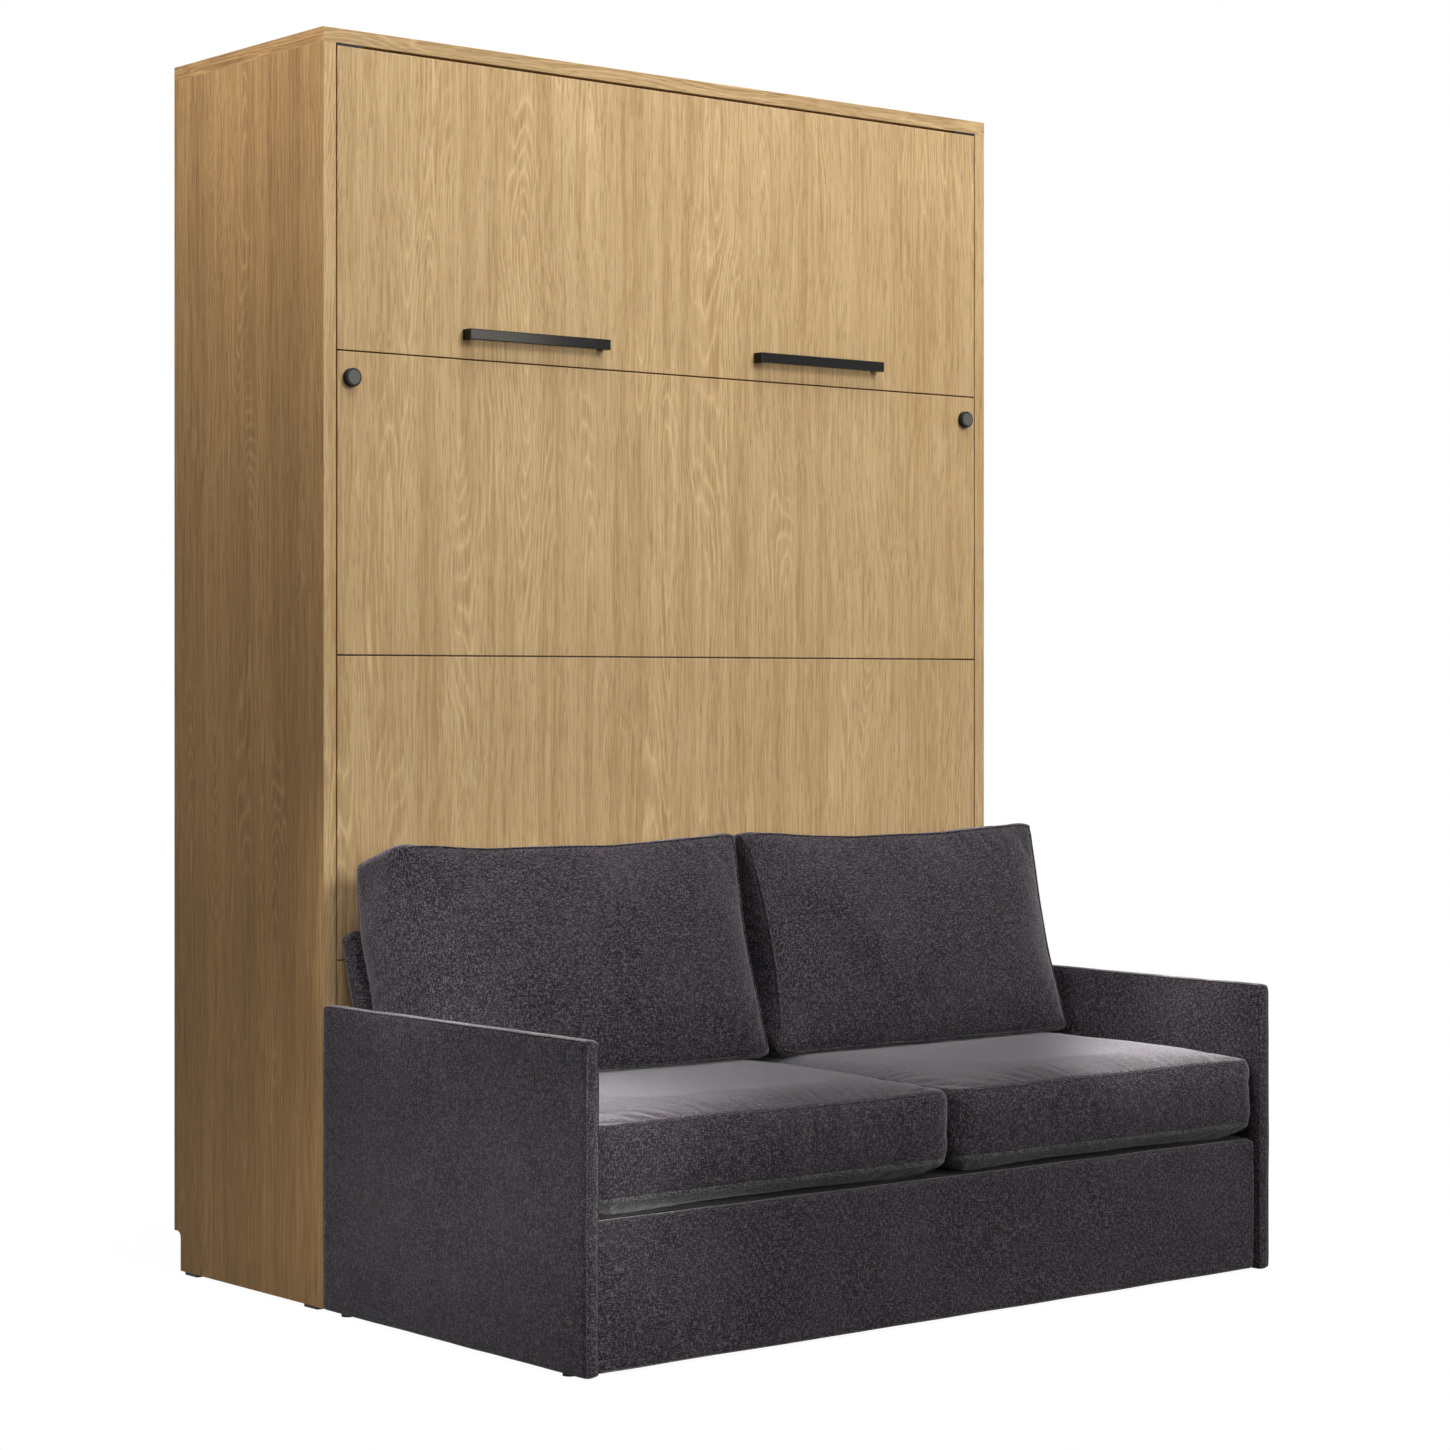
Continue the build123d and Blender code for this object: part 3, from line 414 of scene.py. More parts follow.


# The side tones are darker copies of the front's oak, as painted shade. The lying tones are painted a little
# darker too, against the top light.
FRONT_TONES = ((0.665, 0.475, 0.252, 1), (0.455, 0.283, 0.122, 1))
SHADED_SIDE_TONES = ((0.64, 0.382, 0.166, 1), (0.33, 0.180, 0.068, 1))
SHADED_LYING_TONES = ((0.62, 0.43, 0.225, 1), (0.40, 0.255, 0.11, 1))
oak_front = oak_material("oak_front", (0, 0, 0), (0.3, 0, 0.7), *FRONT_TONES)
oak_side_painted_shade = oak_material("oak_side_painted_shade", (0, 0, 0), (1.7, 0.4, 0.1), *SHADED_SIDE_TONES)
oak_lying_painted_shade = oak_material("oak_lying_painted_shade", (0, QUARTER, 0), (0.2, 0.9, 0.6), *SHADED_LYING_TONES)
oak_board_end_painted_shade = oak_material("oak_board_end_painted_shade", (QUARTER, 0, 0), (0.5, 0.3, 0.2), *SHADED_SIDE_TONES)

# %% [markdown]
# The rest of the boards don't show when the bed is shut. The slats and the seat's rails are layered
# birch, and the cabinet's back is a plain pale board with a fine grained print.

# %% Plain boards and birch
def plain_board(name, light, dark, roughness, stretch):
    """A board with soft streaks along one axis."""
    material, tree, shader, place = start_material(name, Roughness=roughness)
    streaks = stretched_noise(tree, place, stretch, 4, 0.6)
    clouds = stretched_noise(tree, place, (3, 3, 3), 2, 0.5)
    both = math_node(tree, "MULTIPLY", math_node(tree, "ADD", streaks, clouds), 0.5)
    colour = mix_colours(tree, spread(tree, both, 0.35, 0.65), dark, light)
    tree.links.new(colour, shader.inputs["Base Color"])
    tree.links.new(bump_from(tree, streaks, 0.15, 0.3 * mm), shader.inputs["Normal"])
    return material


pale_board = plain_board("pale_board", (0.66, 0.58, 0.46, 1), (0.58, 0.50, 0.38, 1), 0.6, (60, 60, 2))
birch = plain_board("birch", (0.72, 0.55, 0.34, 1), (0.60, 0.43, 0.24, 1), 0.45, (4, 160, 160))

# %% [markdown]
# Metals and plastics differ mostly in how they shine. Powder coat has a fine orange peel, moulded plastic
# is matt with a faint grain, and ground steel has hairlines that run round or along the bar.

# %% Metals and plastics
def grained(name, colour, roughness, metallic, scale, relief, mirror=0.5):
    """A paint, plastic or metal whose gloss and surface vary a little."""
    material, tree, shader, place = start_material(name, Metallic=metallic, Specular_IOR_Level=mirror)
    grain = stretched_noise(tree, place, scale, 2, 0.5)
    wear = math_node(tree, "MULTIPLY", spread(tree, grain, 0.45, 0.8), 0.5)
    mixed = mix_colours(tree, wear, colour + (1,), shaded(colour, 1.35, 0.01))
    gloss = math_node(tree, "MULTIPLY_ADD", grain, 0.16, roughness - 0.08)
    tree.links.new(mixed, shader.inputs["Base Color"])
    tree.links.new(gloss, shader.inputs["Roughness"])
    tree.links.new(bump_from(tree, grain, relief, 0.2 * mm), shader.inputs["Normal"])
    return material


black_lacquer = grained("black_lacquer", (0.004, 0.0038, 0.003), 0.13, 0.0, (300, 300, 300), 0.02, 0.22)
black_plastic = grained("black_plastic", (0.008, 0.008, 0.009), 0.5, 0.0, (900, 900, 900), 0.3, 0.2)
graphite_coat = grained("graphite_coat", (0.055, 0.057, 0.062), 0.42, 0.2, (700, 700, 700), 0.35)
zinc_plate = grained("zinc_plate", (0.55, 0.55, 0.53), 0.32, 1.0, (80, 80, 500), 0.12)
bright_rod = grained("bright_rod", (0.78, 0.78, 0.79), 0.14, 1.0, (600, 600, 40), 0.05)
bronze = grained("bronze", (0.50, 0.33, 0.14), 0.38, 1.0, (300, 300, 300), 0.15)
# The feet's faces are black plastic; this grey is painted light for their lit face.
pad_face_painted_light = grained("pad_face_painted_light", (0.100, 0.100, 0.088), 0.5, 0.0, (500, 500, 500), 0.15, 0.2)

# %% [markdown]
# The sofa's cloth is a charcoal melange with a purple cast. Light threads catch the eye first, so the colour
# goes from a dark ground to lighter threads, and a little sheen brightens the cloth where it turns away, as
# brushed fibres do. A slow variation keeps large panels from looking printed. The same function makes
# several other cloths. The grey-green band low on the seat cushions is painted lighter than its cloth, as
# painted light on a face that looks partly down. It also makes the ticking of the mattress and the webbing
# of its straps. The felt under the cushions is near black, partly as painted shade in the gaps between them.

# %% Cloth materials
DARK_SHARE = 0.75
NAP_SHARE = 0.10


def cloth_material(name, ground, light, dark, tinted, sheen, relief, light_share=0.7):
    """A melange cloth with crossed threads in a ground colour and a second, tinted one."""
    material, tree, shader, place = start_material(
        name, Roughness=0.92, Sheen_Weight=sheen, Sheen_Roughness=0.24, Specular_IOR_Level=0.2
    )
    shader.inputs["Sheen Tint"].default_value = shaded(ground, 6, 0.7)
    cloth = place_pattern(tree, cloth_group, place)
    slow = stretched_noise(tree, place, (7, 7, 7), 3, 0.6)
    fine = stretched_noise(tree, place, (420, 420, 420), 2, 0.6)
    colour = mix_colours(tree, cloth["Tint"], ground, tinted)
    share = math_node(tree, "MULTIPLY", cloth["Light Threads"], light_share)
    colour = mix_colours(tree, share, colour, light)
    share = math_node(tree, "MULTIPLY", cloth["Dark Threads"], DARK_SHARE)
    colour = mix_colours(tree, share, colour, dark)
    nap = math_node(tree, "MULTIPLY", spread(tree, slow, 0.35, 0.7), NAP_SHARE)
    colour = mix_colours(tree, nap, colour, light)
    height = math_node(tree, "MULTIPLY_ADD", fine, 0.8, cloth["Height"])
    tree.links.new(colour, shader.inputs["Base Color"])
    tree.links.new(bump_from(tree, height, relief, 1.6 * mm), shader.inputs["Normal"])
    return material


def grey(level):
    """A plain grey."""
    return (level, level, level, 1)


CHARCOAL = (0.016, 0.0105, 0.017, 1)
CHARCOAL_LIGHT = (0.135, 0.114, 0.132, 1)
CHARCOAL_DARK = (0.004, 0.0035, 0.005, 1)
CHARCOAL_GREEN = (0.0135, 0.0135, 0.013, 1)
# The band's grey-green is its cloth's own colour, made lighter as painted light for a face that looks partly
# down.
BAND_GREEN_PAINTED_LIGHT = (0.072, 0.075, 0.073, 1)
BAND_LIGHT = (0.20, 0.205, 0.20, 1)
SEAM_GROUND = (0.016, 0.013, 0.017, 1)
SEAM_LIGHT = (0.08, 0.07, 0.08, 1)
TICKING = (0.60, 0.59, 0.565, 1)
TICKING_LIGHT = (0.69, 0.68, 0.66, 1)
TICKING_DARK = (0.48, 0.47, 0.445, 1)
TICKING_GREY = (0.57, 0.57, 0.56, 1)
BLACK = (0.020, 0.020, 0.021, 1)
BLACK_LIGHT = (0.06, 0.06, 0.062, 1)
sofa_cloth = cloth_material("sofa_cloth", CHARCOAL, CHARCOAL_LIGHT, CHARCOAL_DARK, CHARCOAL_GREEN, 1.0, 1.0)
band_cloth_painted_light = cloth_material("band_cloth_painted_light", BAND_GREEN_PAINTED_LIGHT, BAND_LIGHT, grey(0.026), CHARCOAL, 0.4, 0.6, 0.6)
seam_cloth = cloth_material("seam_cloth", SEAM_GROUND, SEAM_LIGHT, CHARCOAL_DARK, CHARCOAL, 0.3, 0.4)
ticking = cloth_material("ticking", TICKING, TICKING_LIGHT, TICKING_DARK, TICKING_GREY, 0.15, 0.35)
webbing = cloth_material("webbing", BLACK, BLACK_LIGHT, grey(0.006), BLACK, 0.1, 0.5)
# The deck's felt is near black, partly as painted shade in the gaps between the cushions.
deck_felt_and_shade = cloth_material("deck_felt_and_shade", grey(0.009), grey(0.02), grey(0.003), BLACK, 0.1, 0.3)

# %% [markdown]
# Every piece of the frame gets the finish that its real one has, with painted shade in the oak of the sides,
# of the boards that lie and of the top board's ends. The case's sides are edged like the front, so their
# front faces take the front's oak, and the top board's ends take the sides' painted shade.

# %% Finishes for the pieces of the frame
finishes = {
    oak_front: ["door_panel_bottom", "door_panel_lower", "door_panel_upper", "door_panel_top"],
    oak_side_painted_shade: ["side_panel_left", "side_panel_right", "side_boards"],
    oak_lying_painted_shade: ["top_panel", "plinth_board", "end_boards"],
    pale_board: ["back_panels", "rear_rails", "door_battens"],
    deck_felt_and_shade: ["seat_deck"],
    birch: ["slats", "seat_bearers", "seat_ledgers", "seat_rear_board", "backrest_board"],
    graphite_coat: ["bed_rail_left", "bed_rail_right", "bed_cross_tubes", "centre_beam", "lever_plates"]
    + ["leg_tube_left", "leg_tube_right", "leg_guides", "strut_anchors"],
    black_plastic: ["cabinet_glides", "top_bumpers", "closing_stops", "slat_holders", "rail_caps"]
    + ["sofa_glides", "leg_pad_left", "leg_pad_right", "backrest_bushes"],
    black_lacquer: ["handle_bars", "handle_posts", "strut_cylinder_left", "strut_cylinder_right"],
    zinc_plate: ["pivot_plates", "lever_pins", "sofa_connector_bolts", "backrest_pins"],
    bright_rod: ["pivot_pins", "strut_rod_left", "strut_rod_right"],
    bronze: ["pivot_bushes"],
    sofa_cloth: ["sofa_arm_left", "sofa_arm_right", "seat_front_board", "backrest_pad"]
    + ["seat_cushion_left", "seat_cushion_right", "back_cushion_left", "back_cushion_right"],
    ticking: ["mattress"],
    webbing: ["mattress_straps"],
}
for finish, names in finishes.items():
    for name in names:
        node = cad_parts[name]
        node.data.materials.clear()
        node.data.materials.append(finish)
for name in ("side_panel_left", "side_panel_right"):
    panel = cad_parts[name]
    panel.data.materials.append(oak_front)
    for face in panel.data.polygons:
        face.material_index = int(face.normal.y < -0.5)
top_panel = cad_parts["top_panel"]
top_panel.data.materials.append(oak_board_end_painted_shade)
for face in top_panel.data.polygons:
    face.material_index = int(abs(face.normal.x) > 0.5)
print("finished", sum(len(names) for names in finishes.values()), "nodes")

# %% [markdown]
# Padded pieces start the same way. A block at the real size gets soft corners and is remeshed into even
# small faces, which can then be moved as freely as clay. Each helper here does one thing that is done by
# hand in the viewport: select, add, apply a modifier, smooth.

# %% Helpers for adding pieces
def only(piece):
    """Selects one object and makes it active."""
    bpy.ops.object.select_all(action="DESELECT")
    piece.select_set(True)
    bpy.context.view_layer.objects.active = piece


def add_block(name, low, high):
    """A block between two corners, with its place in its mesh."""
    middle = [(a + b) / 2 for a, b in zip(low, high)]
    bpy.ops.mesh.primitive_cube_add(size=1, location=middle)
    piece = bpy.context.object
    piece.name = name
    piece.data.name = name
    piece.scale = [b - a for a, b in zip(low, high)]
    bpy.ops.object.transform_apply(location=True, rotation=True, scale=True)
    return piece


def apply_modifier(piece, kind, **settings):
    """Adds a modifier, sets it and applies it."""
    only(piece)
    made = piece.modifiers.new(kind.lower(), kind)
    for key, value in settings.items():
        setattr(made, key, value)
    bpy.ops.object.modifier_apply(modifier=made.name)


def remeshed(piece, size):
    """Rebuilds a closed piece from even faces of one size."""
    apply_modifier(piece, "REMESH", mode="VOXEL", voxel_size=size, use_smooth_shade=True)


def softened(piece, rounds, factor=0.5):
    """Evens out the small steps of a mesh."""
    apply_modifier(piece, "SMOOTH", factor=factor, iterations=rounds)


def smooth(piece, angle=60):
    """Shades a piece smooth except at edges sharper than the angle."""
    only(piece)
    bpy.ops.object.shade_smooth_by_angle(angle=math.radians(angle))
    bpy.ops.object.select_all(action="DESELECT")


print("helpers for adding pieces are ready")

# %% [markdown]
# Moving thousands of points is quickest as arrays. A shape is then written as a formula on shares of a
# box, each from -1 to 1, and the small unevenness of cloth over foam is noise along the normals.

# %% Helpers for moving points
def points_of(piece):
    """The places of a mesh's points as an array."""
    flat = np.empty(len(piece.data.vertices) * 3)
    piece.data.vertices.foreach_get("co", flat)
    return flat.reshape(-1, 3)


def set_points(piece, places):
    """Writes an array of places back to a mesh."""
    piece.data.vertices.foreach_set("co", np.ascontiguousarray(places, dtype=np.float32).ravel())
    piece.data.update()


def shares_of(places, low, high):
    """Where points lie in a box, from -1 to 1 along each axis."""
    low, high = np.array(low), np.array(high)
    return (places - (low + high) / 2) / ((high - low) / 2)


def ripples(places, size, height, seed):
    """Small uneven heights, one for each place, as of cloth pulled over foam."""
    offset = Vector((seed, seed * 0.37, seed * 0.71))
    return np.array([height * noise.noise(Vector(p) / size + offset) for p in places])


def push_along_normals(piece, heights):
    """Moves each point along its normal."""
    normals = np.empty(len(piece.data.vertices) * 3)
    piece.data.vertices.foreach_get("normal", normals)
    set_points(piece, points_of(piece) + normals.reshape(-1, 3) * heights[:, None])


def gaps_to(piece, points):
    """How far each point of a piece is from the nearest of some points."""
    tree = KDTree(len(points))
    for index, point in enumerate(points):
        tree.insert(Vector(point), index)
    tree.balance()
    return np.array([tree.find(vertex.co)[2] for vertex in piece.data.vertices])


print("helpers for moving points are ready")

# %% [markdown]
# Stuffing is a cloth simulation with pressure inside and no gravity. The sewn lines are held, so the
# panels between them bulge. The movement is capped, so that a cushion stays the size it was cut to.

# %% Helper for stuffing a cushion
STUFFING_FRAMES = 20
SEWN_WIDTH = 14 * mm
CLOTH_SETTINGS = {
    "quality": 4, "mass": 0.25, "tension_stiffness": 14, "compression_stiffness": 8, "shear_stiffness": 4,
    "bending_stiffness": 0.3, "shrink_min": -0.01, "use_pressure": True, "uniform_pressure_force": 4.0,
}


def stuffed(piece, cap, sewn):
    """Blows a cushion up by a cloth simulation: sewn lines stay, and nothing moves past the cap."""
    before = points_of(piece)
    only(piece)
    held = piece.vertex_groups.new(name="sewn")
    nearness = 1 - gaps_to(piece, [point for line in sewn for point in line]) / SEWN_WIDTH
    for index in np.nonzero(nearness > 0)[0]:
        held.add([int(index)], float(min(1, 1.6 * nearness[index])), "REPLACE")
    cloth = piece.modifiers.new("stuffing", "CLOTH")
    for key, value in CLOTH_SETTINGS.items():
        setattr(cloth.settings, key, value)
    cloth.settings.vertex_group_mass = held.name
    cloth.settings.effector_weights.gravity = 0
    cloth.point_cache.frame_start = 1
    cloth.point_cache.frame_end = STUFFING_FRAMES
    scene = bpy.context.scene
    for moment in range(1, STUFFING_FRAMES + 1):
        scene.frame_set(moment)
    only(piece)
    bpy.ops.object.modifier_apply(modifier=cloth.name)
    piece.vertex_groups.clear()
    scene.frame_set(1)
    moved = points_of(piece) - before
    length = np.linalg.norm(moved, axis=1)
    factor = cap * np.tanh(length / cap) / np.maximum(length, 1e-9)
    set_points(piece, before + moved * factor[:, None])
    most, mean = float(length.max()) / mm, float(length.mean()) / mm
    print(piece.name, f"stuffed, moved by {most:.1f} mm at most and {mean:.1f} mm in the mean")


print("simulation of", STUFFING_FRAMES, "frames for each cushion, quick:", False)

# %% [markdown]
# A seam pulls the cloth in along its line, and a welt is a thin cord in a strip of cloth that is sewn
# into it. So a seam here is a line laid on the finished piece: the surface is drawn in near the line,
# and a thin round tube follows it. The lines are first evened out, so that the tube has no kinks.

# %% Helpers for seams
def snapped(piece, line, out=0.0):
    """The points of a line, moved to the nearest place on a piece, and outwards by a distance."""
    tree = BVHTree.FromObject(piece, bpy.context.evaluated_depsgraph_get())
    landed = []
    for point in line:
        place, normal, _, _ = tree.find_nearest(Vector(point))
        landed.append(place + normal * out)
    return landed


def relaxed(line, rounds, closed=True):
    """Evens a line out, so that a tube along it has no kinks."""
    places = np.array([tuple(p) for p in line])
    for _ in range(rounds):
        around = (np.roll(places, 1, axis=0) + np.roll(places, -1, axis=0)) / 2
        if not closed:
            around[0], around[-1] = places[0], places[-1]
        places = 0.5 * places + 0.5 * around
    return [Vector(p) for p in places]


def drawn_in(piece, line, width, depth):
    """Pulls the surface in near a seam line."""
    gaps = gaps_to(piece, line)
    push_along_normals(piece, np.where(gaps < 2.5 * width, -depth * np.exp(-((gaps / width) ** 2)), 0))


def tube_along(name, line, radius, closed=True):
    """A round tube along a line, as a closed mesh."""
    curve = bpy.data.curves.new(name, "CURVE")
    curve.dimensions = "3D"
    curve.bevel_depth = radius
    curve.bevel_resolution = 1
    curve.use_fill_caps = True
    spline = curve.splines.new("POLY")
    spline.points.add(len(line) - 1)
    for point, place in zip(spline.points, line):
        point.co = (*place, 1)
    spline.use_cyclic_u = closed
    holder = bpy.data.objects.new(name, curve)
    bpy.context.scene.collection.objects.link(holder)
    only(holder)
    bpy.ops.object.convert(target="MESH")
    piece = bpy.context.object
    piece.name = name
    bpy.ops.object.shade_smooth()
    bpy.ops.object.select_all(action="DESELECT")
    return piece


def dressed(piece, body, finish, slot, *replaced):
    """Gives a finished piece its body and finish, and hides the nodes that it stands for. The slot is not
    used.
    """
    size = np.ptp(points_of(piece), axis=0) / mm
    print(piece.name, len(piece.data.polygons), "faces,", " x ".join(f"{part:.0f}" for part in size), "mm")
    piece.data.materials.clear()
    piece.data.materials.append(finish)
    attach(piece, body)
    if replaced:
        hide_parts(*replaced)


def evenly(start, end, count):
    """Points from start towards end, without the end."""
    start, end = Vector(start), Vector(end)
    return [start.lerp(end, index / count) for index in range(count)]


def loop_through(corners, step):
    """A closed line through corners, with a point at every step."""
    line = []
    for index, corner in enumerate(corners):
        following = corners[(index + 1) % len(corners)]
        count = max(2, round((Vector(following) - Vector(corner)).length / step))
        line += evenly(corner, following, count)
    return line


ROOT = "cabinet_and_sofa"
SIDES = (("left", -1), ("right", 1))
print("helpers for seams are ready, fixed pieces ride on", ROOT)

# %% [markdown]
# An arm is a thin board with foam and cloth pulled tight over it. The cloth is sewn from a long side
# piece and a narrow front piece, so a seam runs up the front edge and back along the top. A slightly
# uneven surface shows that it is cloth over foam, and not paint.

# %% Sofa arms
ARM_EDGE = 6 * mm
ARM_FACE = 6 * mm
SEAM_INSET = 2.2 * mm
SEAM_RADIUS = 1.5 * mm
for name, side in SIDES:
    low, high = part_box(f"sofa_arm_{name}")
    arm = add_block(f"arm_cover_{name}", low, high)
    apply_modifier(arm, "BEVEL", width=ARM_EDGE, segments=3, limit_method="ANGLE")
    remeshed(arm, ARM_FACE)
    push_along_normals(arm, ripples(points_of(arm), 0.09, 0.9 * mm, 3 + side))
    for edge_name, x in (("outer", side * arm_outer), ("inner", side * arm_inner)):
        inward = -side if edge_name == "outer" else side
        edge_x = x + inward * SEAM_INSET
        edge_y, edge_z = low.y + SEAM_INSET, high.z - SEAM_INSET
        line = evenly((edge_x, edge_y, low.z + 4 * mm), (edge_x, edge_y, high.z - 3 * mm), 90)
        line += evenly((edge_x, low.y + 3 * mm, edge_z), (edge_x, high.y - 2 * mm, edge_z), 120)
        drawn_in(arm, line, 4 * mm, 0.7 * mm)
        line = relaxed(snapped(arm, line, 0.2 * mm), 3, closed=False)
        seam = tube_along(f"arm_seam_{edge_name}_{name}", line, SEAM_RADIUS, closed=False)
        dressed(seam, ROOT, seam_cloth, "upholstery")
    smooth(arm)
    dressed(arm, ROOT, sofa_cloth, "upholstery", f"sofa_arm_{name}")

# %% [markdown]
# The board under the seat is covered in the same cloth, with a little foam at its top edge.

# %% Board under the seat
low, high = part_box("seat_front_board")
skirt = add_block("skirt_cover", low, high)
apply_modifier(skirt, "BEVEL", width=ARM_EDGE, segments=3, limit_method="ANGLE")
remeshed(skirt, ARM_FACE)
push_along_normals(skirt, ripples(points_of(skirt), 0.14, 1.1 * mm, 9))
smooth(skirt)
dressed(skirt, ROOT, sofa_cloth, "upholstery", "seat_front_board")

# %% [markdown]
# A seat cushion is a box of foam with a crowned top. One seam runs round its top edge. A second one
# runs low on its front, and under it the cloth rolls round to the bottom. The cushion is shaped first,
# by moving the points of a block as a share of its size, and then stuffed by the simulation.

# %% Seat cushions
SEAT_FACE = 7 * mm
SEAT_CORNER = 34 * mm
SEAT_LOWER_SEAM = 0.274
SEAT_UPPER_SEAM = 0.386
SEAT_CROWN_TOP = 0.405
SEAT_ROLL = 13 * mm
SEAT_WAIST = 4 * mm
SEAT_CURL = 25 * mm
SEAT_SEAM_DEPTHS = (1.2 * mm, 3.0 * mm)


def seat_shape(places, low, high):
    """Rolls the lower edge in, draws the sides in and crowns the top of a seat block."""
    share = shares_of(places, low, high)
    along_x = np.abs(share[:, 0])
    along_y = np.abs(share[:, 1])
    band = np.clip((SEAT_LOWER_SEAM - places[:, 2]) / (SEAT_LOWER_SEAM - low[2]), 0, 1)
    roll = SEAT_ROLL * (1 - np.sqrt(np.clip(1 - band**4, 0, 1)))
    for axis, other in ((0, 1), (1, 0)):
        drawn = roll + SEAT_WAIST * (1 - share[:, other] ** 2)
        places[:, axis] -= np.sign(share[:, axis]) * np.abs(share[:, axis]) ** 6 * drawn
    places[:, 2] += SEAT_CURL * band * along_x**14 * np.clip(-share[:, 1], 0, 1) ** 8
    crown = (1 - along_x**3) * (1 - along_y**3)
    top = np.clip((places[:, 2] - SEAT_UPPER_SEAM) / (high[2] - SEAT_UPPER_SEAM), 0, 1)
    lift = (SEAT_CROWN_TOP - high[2]) * crown - (high[2] - SEAT_UPPER_SEAM) * (1 - crown)
    places[:, 2] += top * lift
    return places


def seat_limits(places, low, high):
    """Keeps a seat cushion between its neighbours: the arms, the deck and the loose cushions."""
    places[:, 0] = np.clip(places[:, 0], low[0], high[0])
    places[:, 1] = np.clip(places[:, 1], low[1] - 4 * mm, high[1])
    under_back = np.clip((places[:, 1] - (front_y - 0.33)) / 0.04, 0, 1)
    ceiling = SEAT_CROWN_TOP + 2 * mm - under_back * (SEAT_CROWN_TOP + 2 * mm - high[2])
    places[:, 2] = np.clip(places[:, 2], low[2], ceiling)
    return places


def seat_outline(low, high, height, corner):
    """The line round a seat cushion at a height, with round corners."""
    line = []
    corners = [(high[0], low[1], 1, -1), (high[0], high[1], 1, 1)]
    corners += [(low[0], high[1], -1, 1), (low[0], low[1], -1, -1)]
    for index, (x, y, sx, sy) in enumerate(corners):
        centre = Vector((x - sx * corner, y - sy * corner, height))
        first = -90 + 90 * index
        for step in range(7):
            turn = math.radians(first + 15 * step)
            line.append(centre + corner * Vector((math.cos(turn), math.sin(turn), 0)))
    return line


for name, side in SIDES:
    low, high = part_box(f"seat_cushion_{name}")
    seat = add_block(f"seat_{name}", low, high)
    only(seat)
    for edge in seat.data.edges:
        a, b = (seat.data.vertices[i].co for i in edge.vertices)
        edge.select = abs(a.z - b.z) > 1 * mm
    bpy.ops.object.mode_set(mode="EDIT")
    bpy.ops.mesh.select_mode(type="EDGE")
    bpy.ops.mesh.bevel(offset=SEAT_CORNER, segments=6)
    bpy.ops.object.mode_set(mode="OBJECT")
    remeshed(seat, SEAT_FACE)
    set_points(seat, seat_shape(points_of(seat), low, high))
    softened(seat, 2)
    lines = []
    for height in (SEAT_UPPER_SEAM, SEAT_LOWER_SEAM):
        line = loop_through(seat_outline(low, high, height, SEAT_CORNER), 6 * mm)
        lines.append(relaxed(snapped(seat, line), 4))
    stuffed(seat, 8 * mm, lines)
    softened(seat, 2)
    push_along_normals(seat, ripples(points_of(seat), 0.11, 2.2 * mm, 21 + side))
    for line, depth in zip(lines, SEAT_SEAM_DEPTHS):
        drawn_in(seat, line, 7 * mm, depth)
    set_points(seat, seat_limits(points_of(seat), low, high))
    apply_modifier(seat, "SUBSURF", levels=1, render_levels=1)
    for seam_name, line in zip(("upper", "lower"), lines):
        line = relaxed(snapped(seat, relaxed(line, 4), 0.1 * mm), 8)
        seam = tube_along(f"seat_seam_{seam_name}_{name}", line, 0.9 * mm)
        dressed(seam, ROOT, seam_cloth, "upholstery")
    smooth(seat)
    dressed(seat, ROOT, sofa_cloth, "upholstery", f"seat_cushion_{name}")
    # The band under the lower seam takes the band cloth with its painted light.
    seat.data.materials.append(band_cloth_painted_light)
    for face in seat.data.polygons:
        face.material_index = int(face.center.z < SEAT_LOWER_SEAM - 1 * mm)

# %% [markdown]
# A back cushion is a loose pillow with a boxed edge. It leans on the backrest, sits flat on the seat and
# bulges to the front. Its corners stand out and the edges between them draw in, because the stuffing
# pulls the cloth round in the middle. A welt runs round the front panel and another round the back.

# %% Back cushions
BACK_FACE = 8 * mm
LEAN = math.radians(17.5)
FOOT_FRONT = (front_y - 0.276, seat_top)
TOP_FRONT = (front_y - 0.170, 0.802)
TOP_BACK = (front_y - 0.037, 0.763)
BEND_Z = 0.637
BACK_CORNER = 0.06
BACK_BULGE = 30 * mm
BACK_SAG = 17 * mm
WELT_INSET = 0.02


def backrest_face_y(z):
    """Where the front of the backrest is at a height."""
    return front_y - 0.0405 - (BEND_Z - z) * math.tan(LEAN)


